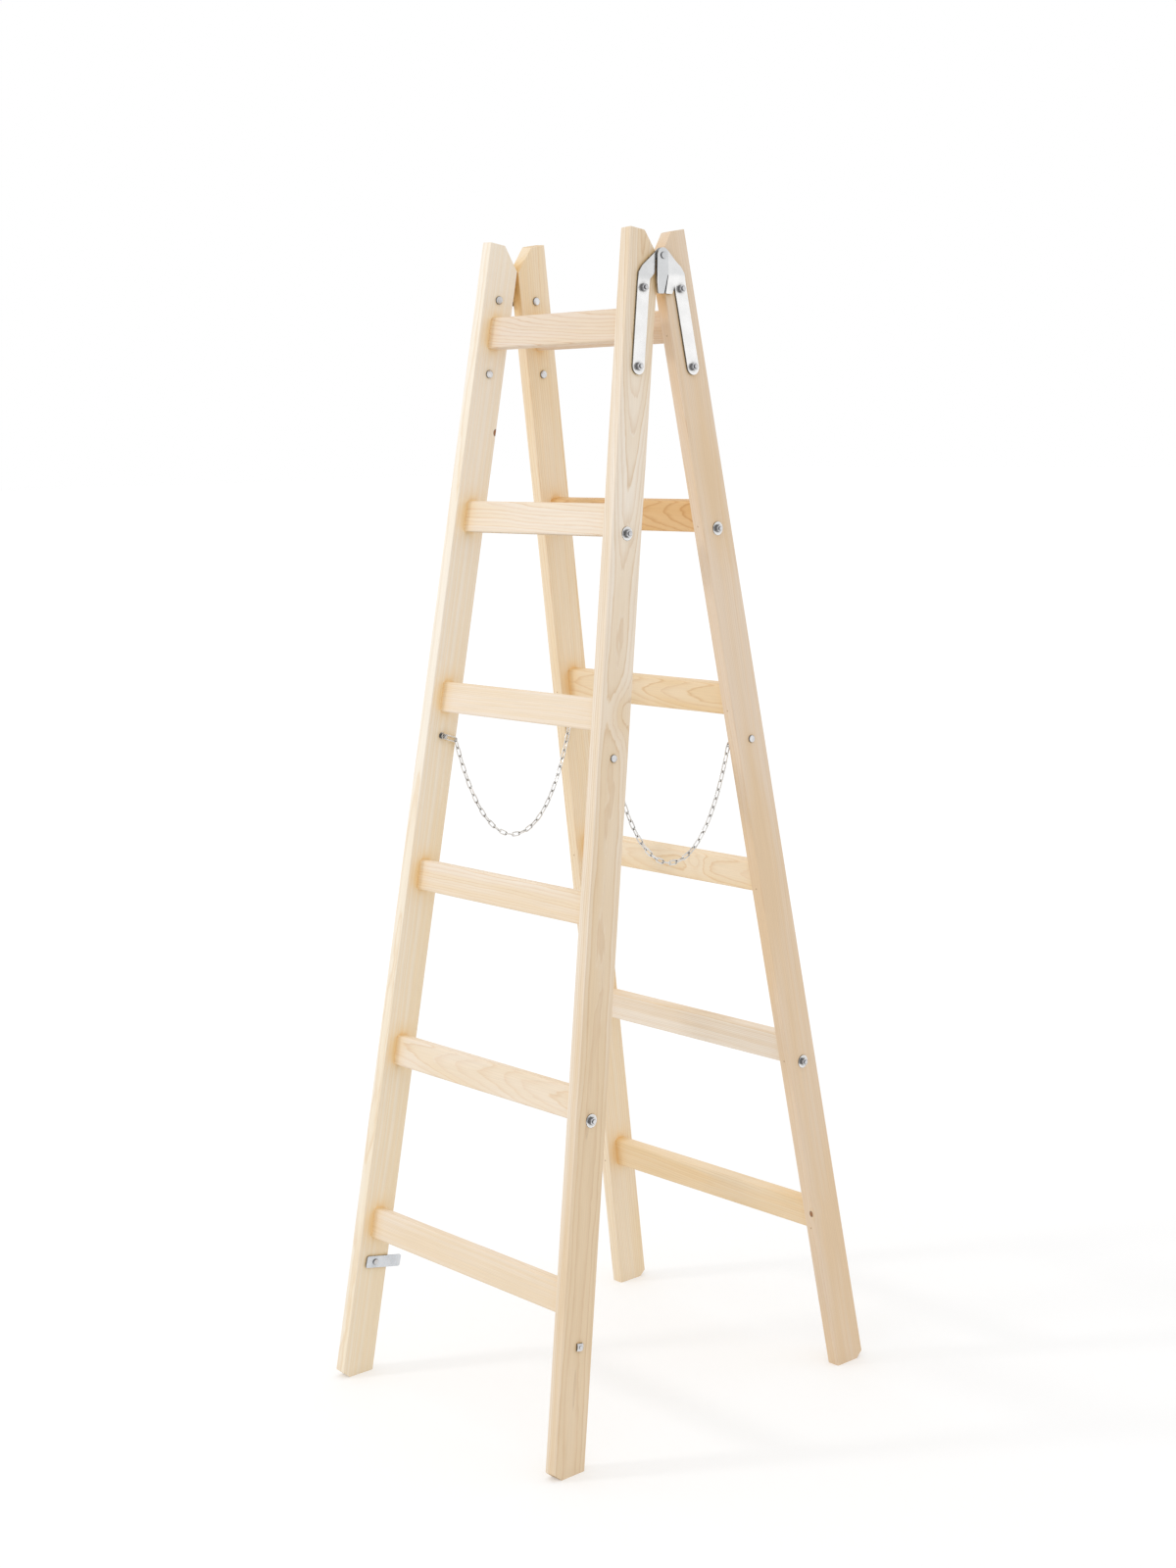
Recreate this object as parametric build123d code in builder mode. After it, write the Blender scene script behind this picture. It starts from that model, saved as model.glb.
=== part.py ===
"""Double-sided wooden ladder with six rungs a side, steel hinges, tie rods, chains and latches.

Millimetres, +Z up, origin on the floor under the middle of the ladder. X runs along the rungs and the
hinge pins. The front ladder leans back from -Y, the rear ladder leans forward from +Y.
"""

from build123d import *
import math
import os

# Driving dimensions of the standing ladder
pin_height = 1728.0
half_opening = 8.9
taper = 3.2
outer_width_at_pin = 335.0
fold_gap = 1.0

# Stiles
stile_width = 58.0
stile_thickness = 21.0
stile_edge_radius = 1.8
stile_end_bevel = 0.8
top_above_pin = 31.0
top_land = 27.0
throat_below_pin = 4.0
sole_length = 43.5
toe_rise = 9.0

# Rungs and their joints
rung_count = 6
rung_pitch = 280.0
top_rung_below_pin = 104.0
rung_height = 47.0
rung_depth = 20.0
rung_edge_radius = 3.0
tenon_height = 28.0
tenon_depth = 12.0
tenon_length = 15.0
tenon_clearance = 0.15
tenon_end_clearance = 0.6
nail_radius = 1.2
nail_length = 42.0
nail_below_rung_centre = 10.5
nail_inset = 10.5
nail_proud = 0.15
nail_clearance = 0.03

# Tie rods under the second rung from each end
rod_radius = 3.0
rod_below_rung_centre = 18.5
rod_clearance = 0.3
rod_end_beyond_nut = 2.0
tie_washer_radius = 10.0
tie_washer_thickness = 1.6
tie_washer_clearance = 0.3
tie_seat_depth = 0.3
tie_nut_flats = 10.0
tie_nut_height = 5.0

# Hinge arms, pins and bolts
arm_thickness = 3.0
strap_width = 23.0
arm_bend_below_pin = 46.0
arm_shoulder_below_pin = 31.0
arm_knee = (20.5, 35.3)
front_arm_neck = ((37.0, 18.0), (28.4, 11.4), (24.9, 9.9), (5.6, 11.5))
eye_radius = 11.0
eye_gap = 0.4
stop_nose_height = 4.0
stop_play = 0.04
crease_inset = 1.4
joggle_end = 28.0
joggle_lap = 0.4
joggle_foot = 34.0
tongue_left = 12.5
tongue_tip_left = 11.0
tongue_tip_right = 0.6
tongue_length = 54.0
tongue_shoulder = 36.0
tongue_corner_radius = 2.5
slit_top = 27.5
slit_width = 1.2
tab_right = 18.5
tab_shoulder = (26.6, 38.5)
pin_radius = 3.0
pin_fit = 0.05
pin_head_radius = 4.8
pin_head_height = 2.2
pin_head_gap = 0.1
pin_tail = 0.8
upper_hinge_bolt_above_rung = 52.5
lower_hinge_bolt_below_rung = 60.0
hinge_bolt_radius = 3.0
hinge_bolt_clearance = 0.2
hinge_bolt_head_radius = 6.3
hinge_bolt_head_height = 3.6
hinge_bolt_end = 2.5
hinge_nut_flats = 10.0
hinge_nut_height = 5.0

# Safety chains below the rung above the ladder's middle
chain_below_rung = 60.0
chain_bolt_radius = 2.0
chain_bolt_clearance = 0.15
chain_bolt_head_radius = 5.8
chain_bolt_head_height = 3.4
chain_bolt_end = 1.5
chain_washer_radius = 5.5
chain_washer_thickness = 1.0
chain_nut_flats = 7.0
chain_nut_height = 3.2
wire_radius = 1.0
link_pitch = 13.9
link_width = 8.0
link_play = 0.4
link_count = 31
end_link_reach = 24.4
end_link_droop = 19.0
end_link_play = 0.3

# Swivel latches below the lowest front rung
latch_below_rung = 63.0
latch_from_stile_centre = -3.0
latch_front_reach = 17.0
latch_back_reach = 50.0
latch_width = 19.0
latch_thickness = 2.0
latch_corner_radius = 3.0
left_latch_droop = 2.3
right_latch_droop = 90.0
latch_play = 0.1
latch_bolt_radius = 2.5
latch_bolt_clearance = 0.1
latch_bolt_head_radius = 4.5
latch_bolt_head_height = 2.6
latch_bolt_end = 1.2
latch_washer_radius = 6.0
latch_washer_thickness = 1.0
latch_nut_width = 11.0
latch_nut_height = 3.6

# Rounding of turned heads, bevels and thread fit of bolts and nuts, and the over-length of cutting tools
head_rounding = 0.75
bolt_end_bevel = 0.5
nut_bevel = 30.0
nut_face_share = 0.96
thread_fit = 0.05
tool_over = 5.0

FRONT, REAR = 1, -1
RIGHT, LEFT = 1, -1

lean = math.radians(half_opening)
splay = math.radians(taper)
x_axis = Vector(1, 0, 0)
inner_edge = fold_gap / 2
stile_centre = inner_edge + stile_width / 2
outer_edge = inner_edge + stile_width
rungs_below_pin = [top_rung_below_pin + rung_pitch * step for step in range(rung_count)]
tied_below_pin = [rungs_below_pin[1], rungs_below_pin[-2]]
hinge_bolts_below_pin = (
    top_rung_below_pin - upper_hinge_bolt_above_rung,
    top_rung_below_pin + lower_hinge_bolt_below_rung,
)
chain_below_pin = rungs_below_pin[rung_count // 2 - 1] + chain_below_rung
latch_below_pin = rungs_below_pin[-1] + latch_below_rung


def down_direction(side):
    """Runs down a ladder, in the ladder's own plane."""
    return Vector(0, -side * math.sin(lean), -math.cos(lean))


def out_direction(side):
    """Points square out of a ladder, away from the other ladder."""
    return Vector(0, -side * math.cos(lean), math.sin(lean))


def face_normal(side, hand):
    """Outward normal of a stile's outer face, which leans with the taper."""
    return Vector(
        hand * math.cos(splay),
        side * math.sin(lean) * math.sin(splay),
        math.cos(lean) * math.sin(splay),
    )


def ladder_point(side, below_pin, out, across):
    """A point given by its way down the ladder, its way out from the pin axis, and X."""
    place = Vector(across, 0, pin_height) + down_direction(side) * below_pin
    return place + out_direction(side) * out


def outer_face_x(below_pin):
    """X of the right outer stile face at a height on the ladder."""
    return outer_width_at_pin / 2 + below_pin * math.tan(splay)


def inner_face_x(below_pin):
    """X of the right inner stile face at a height on the ladder."""
    return outer_face_x(below_pin) - stile_thickness / math.cos(splay)


def face_plane(side, hand, below_pin, out):
    """A plane on a stile's outer face, with z along the face's normal and x down the stile."""
    normal = face_normal(side, hand)
    origin = ladder_point(side, below_pin, out, hand * outer_face_x(below_pin))
    return Plane(origin=origin, x_dir=normal.cross(out_direction(side)) * side * hand, z_dir=normal)


def on_face(side, below_pin, out):
    """A sketch point on the right outer face plane that starts at the pin axis."""
    return (below_pin / math.cos(splay), -side * out)


def cross_plane(side, below_pin, out, across=0.0):
    """A plane across the rungs, with z along X and x square out of the ladder."""
    origin = ladder_point(side, below_pin, out, across)
    return Plane(origin=origin, x_dir=out_direction(side), z_dir=x_axis)


def pin_plane(across):
    """A plane square to the pin through the pin axis, with x along Y and y along Z."""
    return Plane(origin=(across, 0, pin_height), x_dir=(0, 1, 0), z_dir=(1, 0, 0))


def beside_pin(side, below_pin, out):
    """A sketch point on a pin plane from a ladder's own measures."""
    place = ladder_point(side, below_pin, out, 0)
    return (place.Y, place.Z - pin_height)


def mirrored(source, about):
    """A mirror image of a part."""
    with BuildPart() as image:
        mirror(source, about=about)
    return image.part


def group(piece, planes):
    """Separate copies of one piece, each on its own plane."""
    with BuildPart() as placed:
        with Locations(*[plane.location for plane in planes]):
            add(piece)
    return placed.part


def save(part, name):
    """Names a part and writes its file."""
    part.label = name
    export_step(part, f"parts/{name}.step")


# Fastener shapes, each along its own Z
def domed_bolt(radius, length, head_radius, head_height):
    """A bolt with its domed head under z = 0 and its shank above."""
    with BuildPart() as bolt:
        Cylinder(head_radius, head_height, align=(Align.CENTER, Align.CENTER, Align.MAX))
        fillet(bolt.edges().sort_by(Axis.Z)[0], head_height * head_rounding)
        Cylinder(radius, length, align=(Align.CENTER, Align.CENTER, Align.MIN))
        chamfer(bolt.edges().sort_by(Axis.Z)[-1], bolt_end_bevel)
    return bolt.part


def bevelled_nut(sides, flats, height, bolt_radius):
    """A nut that stands on z = 0, with the corners of its outer face turned down."""
    face = flats / 2 * nut_face_share
    reach = flats / 2 / math.cos(math.pi / sides) + tool_over
    drop = (reach - face) * math.tan(math.radians(nut_bevel))
    with BuildPart() as nut:
        with BuildSketch():
            RegularPolygon(flats / 2, sides, major_radius=False, rotation=180 / sides)
            Circle(bolt_radius + thread_fit, mode=Mode.SUBTRACT)
        extrude(amount=height)
        with BuildSketch(Plane.XZ):
            with BuildLine():
                Polyline(
                    (0, -tool_over), (reach, -tool_over), (reach, height - drop), (face, height), (0, height),
                    close=True,
                )
            make_face()
        revolve(axis=Axis.Z, mode=Mode.INTERSECT)
    return nut.part


def flat_washer(radius, thickness, bore):
    """A flat washer that stands on z = 0."""
    with BuildPart() as washer:
        with BuildSketch():
            Circle(radius)
            Circle(bore, mode=Mode.SUBTRACT)
        extrude(amount=thickness)
    return washer.part


# Places that several pieces share
def hinge_bolt_planes(side):
    """The four hinge bolts of a ladder, on its outer faces."""
    return [
        face_plane(side, hand, below, stile_centre)
        for hand in (LEFT, RIGHT)
        for below in hinge_bolts_below_pin
    ]


def chain_bolt_planes(side):
    """The two chain bolts of a ladder, on its outer faces."""
    return [face_plane(side, hand, chain_below_pin, stile_centre) for hand in (LEFT, RIGHT)]


def latch_bolt_plane(hand):
    """A latch bolt of the front ladder, on the outer face."""
    return face_plane(FRONT, hand, latch_below_pin, stile_centre + latch_from_stile_centre)


def rod_below_pin(rung_below_pin):
    """How far down the ladder the rod under a rung lies."""
    return rung_below_pin + rod_below_rung_centre


def tie_seat_x(rung_below_pin):
    """X of the flat seat that a tie washer is let into."""
    seat_dip = (tie_washer_radius + tie_washer_clearance) * math.tan(splay)
    return outer_face_x(rod_below_pin(rung_below_pin)) - seat_dip - tie_seat_depth


def tie_planes(side, beyond_seat):
    """The four tie rod ends of a ladder, with z pointing out along X."""
    planes = []
    for below in tied_below_pin:
        for hand in (LEFT, RIGHT):
            origin = ladder_point(
                side, rod_below_pin(below), stile_centre, hand * (tie_seat_x(below) + beyond_seat)
            )
            planes.append(Plane(origin=origin, x_dir=out_direction(side), z_dir=x_axis * hand))
    return planes


def nail_plane(side, hand, rung_below_pin):
    """A rung's nail, on the stile edge that faces the other ladder."""
    across = hand * (inner_face_x(rung_below_pin) + nail_inset)
    origin = ladder_point(side, rung_below_pin + nail_below_rung_centre, inner_edge, across)
    return Plane(origin=origin, x_dir=x_axis, z_dir=out_direction(side) * -1)


# Stiles
def right_stile(side):
    """A right stile with its mortises and bolt holes."""
    sole_corner_out = inner_edge + sole_length
    sole_corner = (pin_height + sole_corner_out * math.sin(lean)) / math.cos(lean)
    toe_run = outer_edge - sole_corner_out
    outline = [
        (-top_above_pin, outer_edge),
        (-top_above_pin, outer_edge - top_land),
        (throat_below_pin, inner_edge),
        (sole_corner + toe_rise, inner_edge),
        (sole_corner + toe_rise, sole_corner_out - toe_run),
        (sole_corner - toe_rise, outer_edge),
    ]
    with BuildPart() as stile:
        with BuildSketch(face_plane(side, RIGHT, 0, 0)):
            with BuildLine():
                Polyline(*[on_face(side, *corner) for corner in outline], close=True)
            make_face()
        extrude(amount=-stile_thickness)
        split(bisect_by=Plane.XY, keep=Keep.TOP)
        fillet(stile.edges().filter_by(lambda edge: edge.length > rung_pitch), stile_edge_radius)
        chamfer(stile.faces().sort_by(Axis.Z)[-1].edges(), stile_end_bevel)
        for below in rungs_below_pin:
            with BuildSketch(cross_plane(side, below, stile_centre, inner_face_x(below) - tool_over)):
                Rectangle(tenon_depth + 2 * tenon_clearance, tenon_height + 2 * tenon_clearance)
            extrude(amount=tool_over + tenon_length + tenon_end_clearance, mode=Mode.SUBTRACT)
        for below in tied_below_pin:
            mouth = ladder_point(
                side, rod_below_pin(below), stile_centre, tie_seat_x(below) + tool_over
            )
            with Locations(Plane(origin=mouth, x_dir=out_direction(side), z_dir=x_axis).location):
                CounterBoreHole(
                    rod_radius + rod_clearance, tie_washer_radius + tie_washer_clearance, tool_over
                )
        for below in hinge_bolts_below_pin:
            with Locations(face_plane(side, RIGHT, below, stile_centre).location):
                Hole(hinge_bolt_radius + hinge_bolt_clearance)
        with Locations(face_plane(side, RIGHT, chain_below_pin, stile_centre).location):
            Hole(chain_bolt_radius + chain_bolt_clearance)
        if side == FRONT:
            with Locations(latch_bolt_plane(RIGHT).location):
                Hole(latch_bolt_radius + latch_bolt_clearance)
        for below in rungs_below_pin:
            with Locations(nail_plane(side, RIGHT, below).location):
                Hole(nail_radius + nail_clearance, depth=nail_length)
    return stile.part


# Rungs
def rung(side, number):
    """A rung with rounded edges, shoulders cut to the stiles, tenons, and a groove over a tie rod."""
    below = rungs_below_pin[number - 1]
    middle = cross_plane(side, below, stile_centre)
    tenon_end = inner_face_x(below) + tenon_length
    with BuildPart() as bar:
        with BuildSketch(middle):
            RectangleRounded(rung_depth, rung_height, rung_edge_radius)
        extrude(amount=tenon_end, both=True)
        for hand in (LEFT, RIGHT):
            shoulder = face_plane(side, hand, below, stile_centre).offset(-stile_thickness)
            split(bisect_by=shoulder, keep=Keep.BOTTOM)
        with BuildSketch(middle):
            Rectangle(tenon_depth, tenon_height)
        extrude(amount=tenon_end, both=True)
        if below in tied_below_pin:
            groove_width = 2 * (rod_radius + rod_clearance)
            groove_height = rung_height / 2 - rod_below_rung_centre + groove_width / 2
            with BuildSketch(middle):
                with Locations((0, side * (rung_height - groove_height) / 2)):
                    Rectangle(groove_width, groove_height)
            extrude(amount=tenon_end, both=True, mode=Mode.SUBTRACT)
        for hand in (LEFT, RIGHT):
            with Locations(nail_plane(side, hand, below).location):
                Hole(nail_radius + nail_clearance, depth=nail_length)
    return bar.part


def nails(side):
    """The nails that pin a ladder's tenons."""
    with BuildPart() as nail:
        Cylinder(nail_radius, nail_length + nail_proud, align=(Align.CENTER, Align.CENTER, Align.MAX))
    planes = [nail_plane(side, hand, below) for below in rungs_below_pin for hand in (LEFT, RIGHT)]
    return group(nail.part, [plane.offset(nail_proud) for plane in planes])


# Tie rods
def tie_rod(side, below):
    """A steel rod under a rung, through both stiles."""
    reach = tie_seat_x(below) + tie_washer_thickness + tie_nut_height + rod_end_beyond_nut
    with BuildPart() as rod:
        with BuildSketch(cross_plane(side, rod_below_pin(below), stile_centre)):
            Circle(rod_radius)
        extrude(amount=reach, both=True)
        chamfer(rod.edges().filter_by(GeomType.CIRCLE), bolt_end_bevel)
    return rod.part


# Hinge arms
hinge_x = outer_face_x(arm_bend_below_pin)
upper_x = hinge_x + arm_thickness + eye_gap
joggle_start = eye_radius - crease_inset
joggle_slope = (upper_x - hinge_x) / (joggle_end - joggle_start)
stop_nose_reach = joggle_start + (eye_gap - stop_play) / joggle_slope
strap_inner = stile_centre - strap_width / 2
strap_outer = stile_centre + strap_width / 2
strap_end = hinge_bolts_below_pin[-1]


def eye_tangent():
    """Where the arm's outer edge runs onto the eye, from the knee."""
    knee_angle = math.atan2(arm_knee[1], arm_knee[0])
    angle = knee_angle + math.acos(eye_radius / math.hypot(*arm_knee))
    return (eye_radius * math.cos(angle), eye_radius * math.sin(angle))


def bent_strap(side, outline, with_eye):
    """A flat arm on a ladder's right face, bent once so that its upper part stands square to the pin."""
    reach = strap_end + strap_width
    bend_rise = (reach - arm_bend_below_pin) * math.tan(splay)
    ribbon = [
        (-2 * eye_radius, hinge_x),
        (arm_bend_below_pin, hinge_x),
        (reach, hinge_x + bend_rise),
        (reach, hinge_x + bend_rise + arm_thickness),
        (arm_bend_below_pin, hinge_x + arm_thickness),
        (-2 * eye_radius, hinge_x + arm_thickness),
    ]
    down = down_direction(side)
    with BuildPart() as strap:
        with BuildSketch(pin_plane(hinge_x - tool_over)):
            with BuildLine():
                Polyline(*[beside_pin(side, *corner) for corner in outline], close=True)
            make_face()
            with Locations(beside_pin(side, strap_end, stile_centre)):
                Circle(strap_width / 2)
            if with_eye:
                Circle(eye_radius)
                with BuildLine():
                    Polyline(
                        (0, 0),
                        (0, -stop_nose_height),
                        (stop_nose_reach, 0),
                        (stop_nose_reach, stop_nose_height),
                        (0, eye_radius),
                        close=True,
                    )
                make_face()
        extrude(amount=2 * tool_over + arm_thickness + bend_rise)
        with BuildSketch(Plane(origin=(0, 0, pin_height), x_dir=down, z_dir=down.cross(x_axis))):
            with BuildLine():
                Polyline(*ribbon, close=True)
            make_face()
        extrude(amount=2 * outer_edge, both=True, mode=Mode.INTERSECT)
        for below in hinge_bolts_below_pin:
            bolt_plane = face_plane(side, RIGHT, below, stile_centre).offset(arm_thickness + tool_over)
            with Locations(bolt_plane.location):
                Hole(hinge_bolt_radius + hinge_bolt_clearance)
        if with_eye:
            with Locations(pin_plane(upper_x).location):
                Hole(pin_radius + pin_fit)
    return strap.part


def right_front_arm():
    """The front arm: strap, sloping lobe, and the lower eye with its stop nose."""
    outline = [
        (strap_end, strap_outer),
        (arm_shoulder_below_pin, strap_outer),
        arm_knee,
        eye_tangent(),
        (0, 0),
        *reversed(front_arm_neck),
        (strap_end, strap_inner),
    ]
    return bent_strap(FRONT, outline, with_eye=True)


def right_rear_arm():
    """The rear arm: strap, upper eye with its tongue over the gap, and sloping lobe with its side tab."""
    knee_y, knee_z = beside_pin(REAR, *arm_knee)
    tangent_y, tangent_z = beside_pin(REAR, *eye_tangent())
    edge_slope = (knee_z - tangent_z) / (knee_y - tangent_y)
    lap_y = joggle_end + joggle_lap
    lap_z = tangent_z + edge_slope * (lap_y - tangent_y)
    lobe_top = tangent_z + edge_slope * (joggle_end - tangent_y)

    def own_measure(y, z):
        """Way down and way out on the rear ladder of a point beside the pin."""
        place = Vector(0, y, z)
        return (place.dot(down_direction(REAR)), place.dot(out_direction(REAR)))

    strap_outline = [
        (strap_end, strap_outer),
        (arm_shoulder_below_pin, strap_outer),
        arm_knee,
        own_measure(joggle_end, lobe_top),
        own_measure(joggle_end, -joggle_foot),
        (arm_bend_below_pin, strap_inner),
        (strap_end, strap_inner),
    ]
    strap = bent_strap(REAR, strap_outline, with_eye=False)
    lobe_outline = [
        (0, 0),
        (tangent_y, tangent_z),
        (lap_y, lap_z),
        (lap_y, -joggle_foot),
        (tab_shoulder[0], -tab_shoulder[1]),
        (tab_right, -tongue_length),
        (tongue_tip_right + slit_width, -tongue_length),
        (joggle_start, -slit_top),
        (joggle_start - slit_width, -slit_top),
        (tongue_tip_right, -tongue_length),
        (-tongue_tip_left, -tongue_length),
        (-tongue_left, -tongue_shoulder),
        (-eye_radius, 0),
    ]
    beyond_crease = [
        (joggle_start, 2 * eye_radius),
        (joggle_start, -slit_top),
        (tongue_tip_right + slit_width / 2, -tongue_length - tool_over),
        (2 * lap_y, -tongue_length - tool_over),
        (2 * lap_y, 2 * eye_radius),
    ]
    raised_x = upper_x + joggle_slope * joggle_start
    level_layer = [
        (upper_x, -2 * eye_radius),
        (upper_x, joggle_start),
        (upper_x + arm_thickness, joggle_start),
        (upper_x + arm_thickness, -2 * eye_radius),
    ]
    sloping_layer = [
        (raised_x, 0),
        (hinge_x, joggle_end),
        (hinge_x, lap_y),
        (hinge_x + arm_thickness, lap_y),
        (hinge_x + arm_thickness, joggle_end),
        (raised_x + arm_thickness, 0),
    ]

    def lobe_plate(layer, side_of_crease):
        """The lobe on one side of the crease and slit, cut from one layer of sheet."""
        with BuildPart() as plate:
            with BuildSketch(pin_plane(hinge_x - tool_over)) as lobe:
                with BuildLine():
                    Polyline(*lobe_outline, close=True)
                make_face()
                fillet(lobe.vertices().group_by(Axis.Y)[0], tongue_corner_radius)
                Circle(eye_radius)
                with BuildSketch(mode=side_of_crease):
                    with BuildLine():
                        Polyline(*beyond_crease, close=True)
                    make_face()
            extrude(amount=raised_x - hinge_x + arm_thickness + 2 * tool_over)
            with BuildSketch(Plane.XY.offset(pin_height)):
                with BuildLine():
                    Polyline(*layer, close=True)
                make_face()
            extrude(amount=2 * tongue_length, both=True, mode=Mode.INTERSECT)
        return plate.part

    with BuildPart() as arm:
        add(lobe_plate(level_layer, Mode.SUBTRACT))
        with Locations(pin_plane(upper_x + arm_thickness + tool_over).location):
            Hole(pin_radius + pin_fit)
        add(lobe_plate(sloping_layer, Mode.INTERSECT))
        add(strap)
    return arm.part


def right_hinge_pin():
    """The rivet that joins the two arms, with its round head outside."""
    head_x = upper_x + arm_thickness + pin_head_gap
    with BuildPart() as pin:
        with BuildSketch(pin_plane(head_x)):
            Circle(pin_head_radius)
        extrude(amount=pin_head_height)
        fillet(pin.edges().sort_by(Axis.X)[-1], pin_head_height * head_rounding)
        with BuildSketch(pin_plane(head_x)):
            Circle(pin_radius)
        extrude(amount=hinge_x - pin_tail - head_x)
    return pin.part


# Safety chains
def oblong_link(inner_length, inner_width):
    """A round-wire link in the XY plane, long along X, centred on the origin."""
    straight = inner_length - inner_width
    bend = inner_width / 2 + wire_radius
    with BuildPart() as link:
        with BuildLine() as path:
            Line((-straight / 2, bend), (straight / 2, bend))
            RadiusArc((straight / 2, bend), (straight / 2, -bend), bend)
            Line((straight / 2, -bend), (-straight / 2, -bend))
            RadiusArc((-straight / 2, -bend), (-straight / 2, bend), bend)
        with BuildSketch(Plane(origin=(0, bend, 0), z_dir=(1, 0, 0))):
            Circle(wire_radius)
        sweep(path=path.wires()[0])
    return link.part


def left_chain():
    """Two long end links held on the chain bolts, and a run of links that hangs between them."""
    inner_width = link_width - 4 * wire_radius
    link = oblong_link(link_pitch + link_play, inner_width)
    bolt_hold = chain_bolt_radius + end_link_play
    end_length = end_link_reach + bolt_hold + wire_radius + link_play / 2
    end_link = oblong_link(end_length, 2 * bolt_hold)

    stack = chain_washer_thickness + chain_nut_height + end_link_play + wire_radius
    front_hold, rear_hold = [
        face_plane(side, LEFT, chain_below_pin, stile_centre).offset(-stile_thickness - stack).origin
        for side in (FRONT, REAR)
    ]
    droop = math.radians(end_link_droop)
    half_span = rear_hold.Y - end_link_reach * math.cos(droop)
    end_z = rear_hold.Z - end_link_reach * math.sin(droop)
    half_length = link_count * link_pitch / 2

    # A hanging chain is a catenary: its scale is found by halving the interval it lies in
    narrow, wide = half_span / 10, half_span * 10
    while wide - narrow > 1e-6:
        scale = (narrow + wide) / 2
        if scale * math.sinh(half_span / scale) > half_length:
            narrow = scale
        else:
            wide = scale
    lowest_z = end_z - scale * (math.cosh(half_span / scale) - 1)

    run = []
    for step in range(link_count):
        along = (step + 0.5) * link_pitch - half_length
        y = scale * math.asinh(along / scale)
        z = lowest_z + scale * (math.cosh(y / scale) - 1)
        slope = math.atan2(along, scale)
        tangent = Vector(0, math.cos(slope), math.sin(slope))
        flat_normal = x_axis if step % 2 else tangent.cross(x_axis)
        run.append(Plane(origin=(rear_hold.X, y, z), x_dir=tangent, z_dir=flat_normal))

    centre_reach = end_length / 2 - bolt_hold
    ends = []
    for side, hold in ((FRONT, front_hold), (REAR, rear_hold)):
        inward = Vector(0, side * math.cos(droop), -math.sin(droop))
        ends.append(Plane(origin=hold + inward * centre_reach, x_dir=inward, z_dir=x_axis))

    with BuildPart() as chain:
        with Locations(*[plane.location for plane in run]):
            add(link)
        with Locations(*[plane.location for plane in ends]):
            add(end_link)
    return chain.part


# Swivel latches
def right_latch(droop):
    """A flat strip on a bolt at the right front stile's inner face, with its tip turned down by an angle."""
    lift = stile_thickness + latch_washer_thickness + latch_play
    with BuildPart() as latch:
        with BuildSketch(latch_bolt_plane(RIGHT).offset(-lift)):
            with Locations(Location((0, 0, 0), (0, 0, -droop))):
                with Locations((0, (latch_back_reach - latch_front_reach) / 2)):
                    RectangleRounded(latch_width, latch_front_reach + latch_back_reach, latch_corner_radius)
            Circle(latch_bolt_radius + latch_bolt_clearance, mode=Mode.SUBTRACT)
        extrude(amount=-latch_thickness)
    return latch.part


os.makedirs("parts", exist_ok=True)

# Timber
for side, ladder in ((FRONT, "front"), (REAR, "rear")):
    stile = right_stile(side)
    save(stile, f"{ladder}_stile_right")
    save(mirrored(stile, Plane.YZ), f"{ladder}_stile_left")
    for number in range(1, rung_count + 1):
        save(rung(side, number), f"{ladder}_rung_{number}")
    save(nails(side), f"{ladder}_rung_nails")

# Tie rods with their washers and nuts
washer = flat_washer(tie_washer_radius, tie_washer_thickness, rod_radius + rod_clearance)
nut = bevelled_nut(6, tie_nut_flats, tie_nut_height, rod_radius)
for side, ladder in ((FRONT, "front"), (REAR, "rear")):
    for below, height in zip(tied_below_pin, ("upper", "lower")):
        save(tie_rod(side, below), f"{ladder}_tie_rod_{height}")
    save(group(washer, tie_planes(side, 0)), f"{ladder}_tie_washers")
    save(group(nut, tie_planes(side, tie_washer_thickness)), f"{ladder}_tie_nuts")

# Hinges with their bolts and nuts
front_arm = right_front_arm()
rear_arm = right_rear_arm()
hinge_pin = right_hinge_pin()
for part, name in ((front_arm, "front_hinge_arm"), (rear_arm, "rear_hinge_arm"), (hinge_pin, "hinge_pin")):
    save(part, f"{name}_right")
    save(mirrored(part, Plane.YZ), f"{name}_left")
bolt_length = stile_thickness + arm_thickness + hinge_nut_height + hinge_bolt_end
bolt = domed_bolt(hinge_bolt_radius, bolt_length, hinge_bolt_head_radius, hinge_bolt_head_height)
nut = bevelled_nut(6, hinge_nut_flats, hinge_nut_height, hinge_bolt_radius)
for side, ladder in ((FRONT, "front"), (REAR, "rear")):
    planes = hinge_bolt_planes(side)
    save(group(bolt, [plane.offset(-stile_thickness) for plane in planes]), f"{ladder}_hinge_bolts")
    save(group(nut, [plane.offset(arm_thickness) for plane in planes]), f"{ladder}_hinge_nuts")

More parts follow.
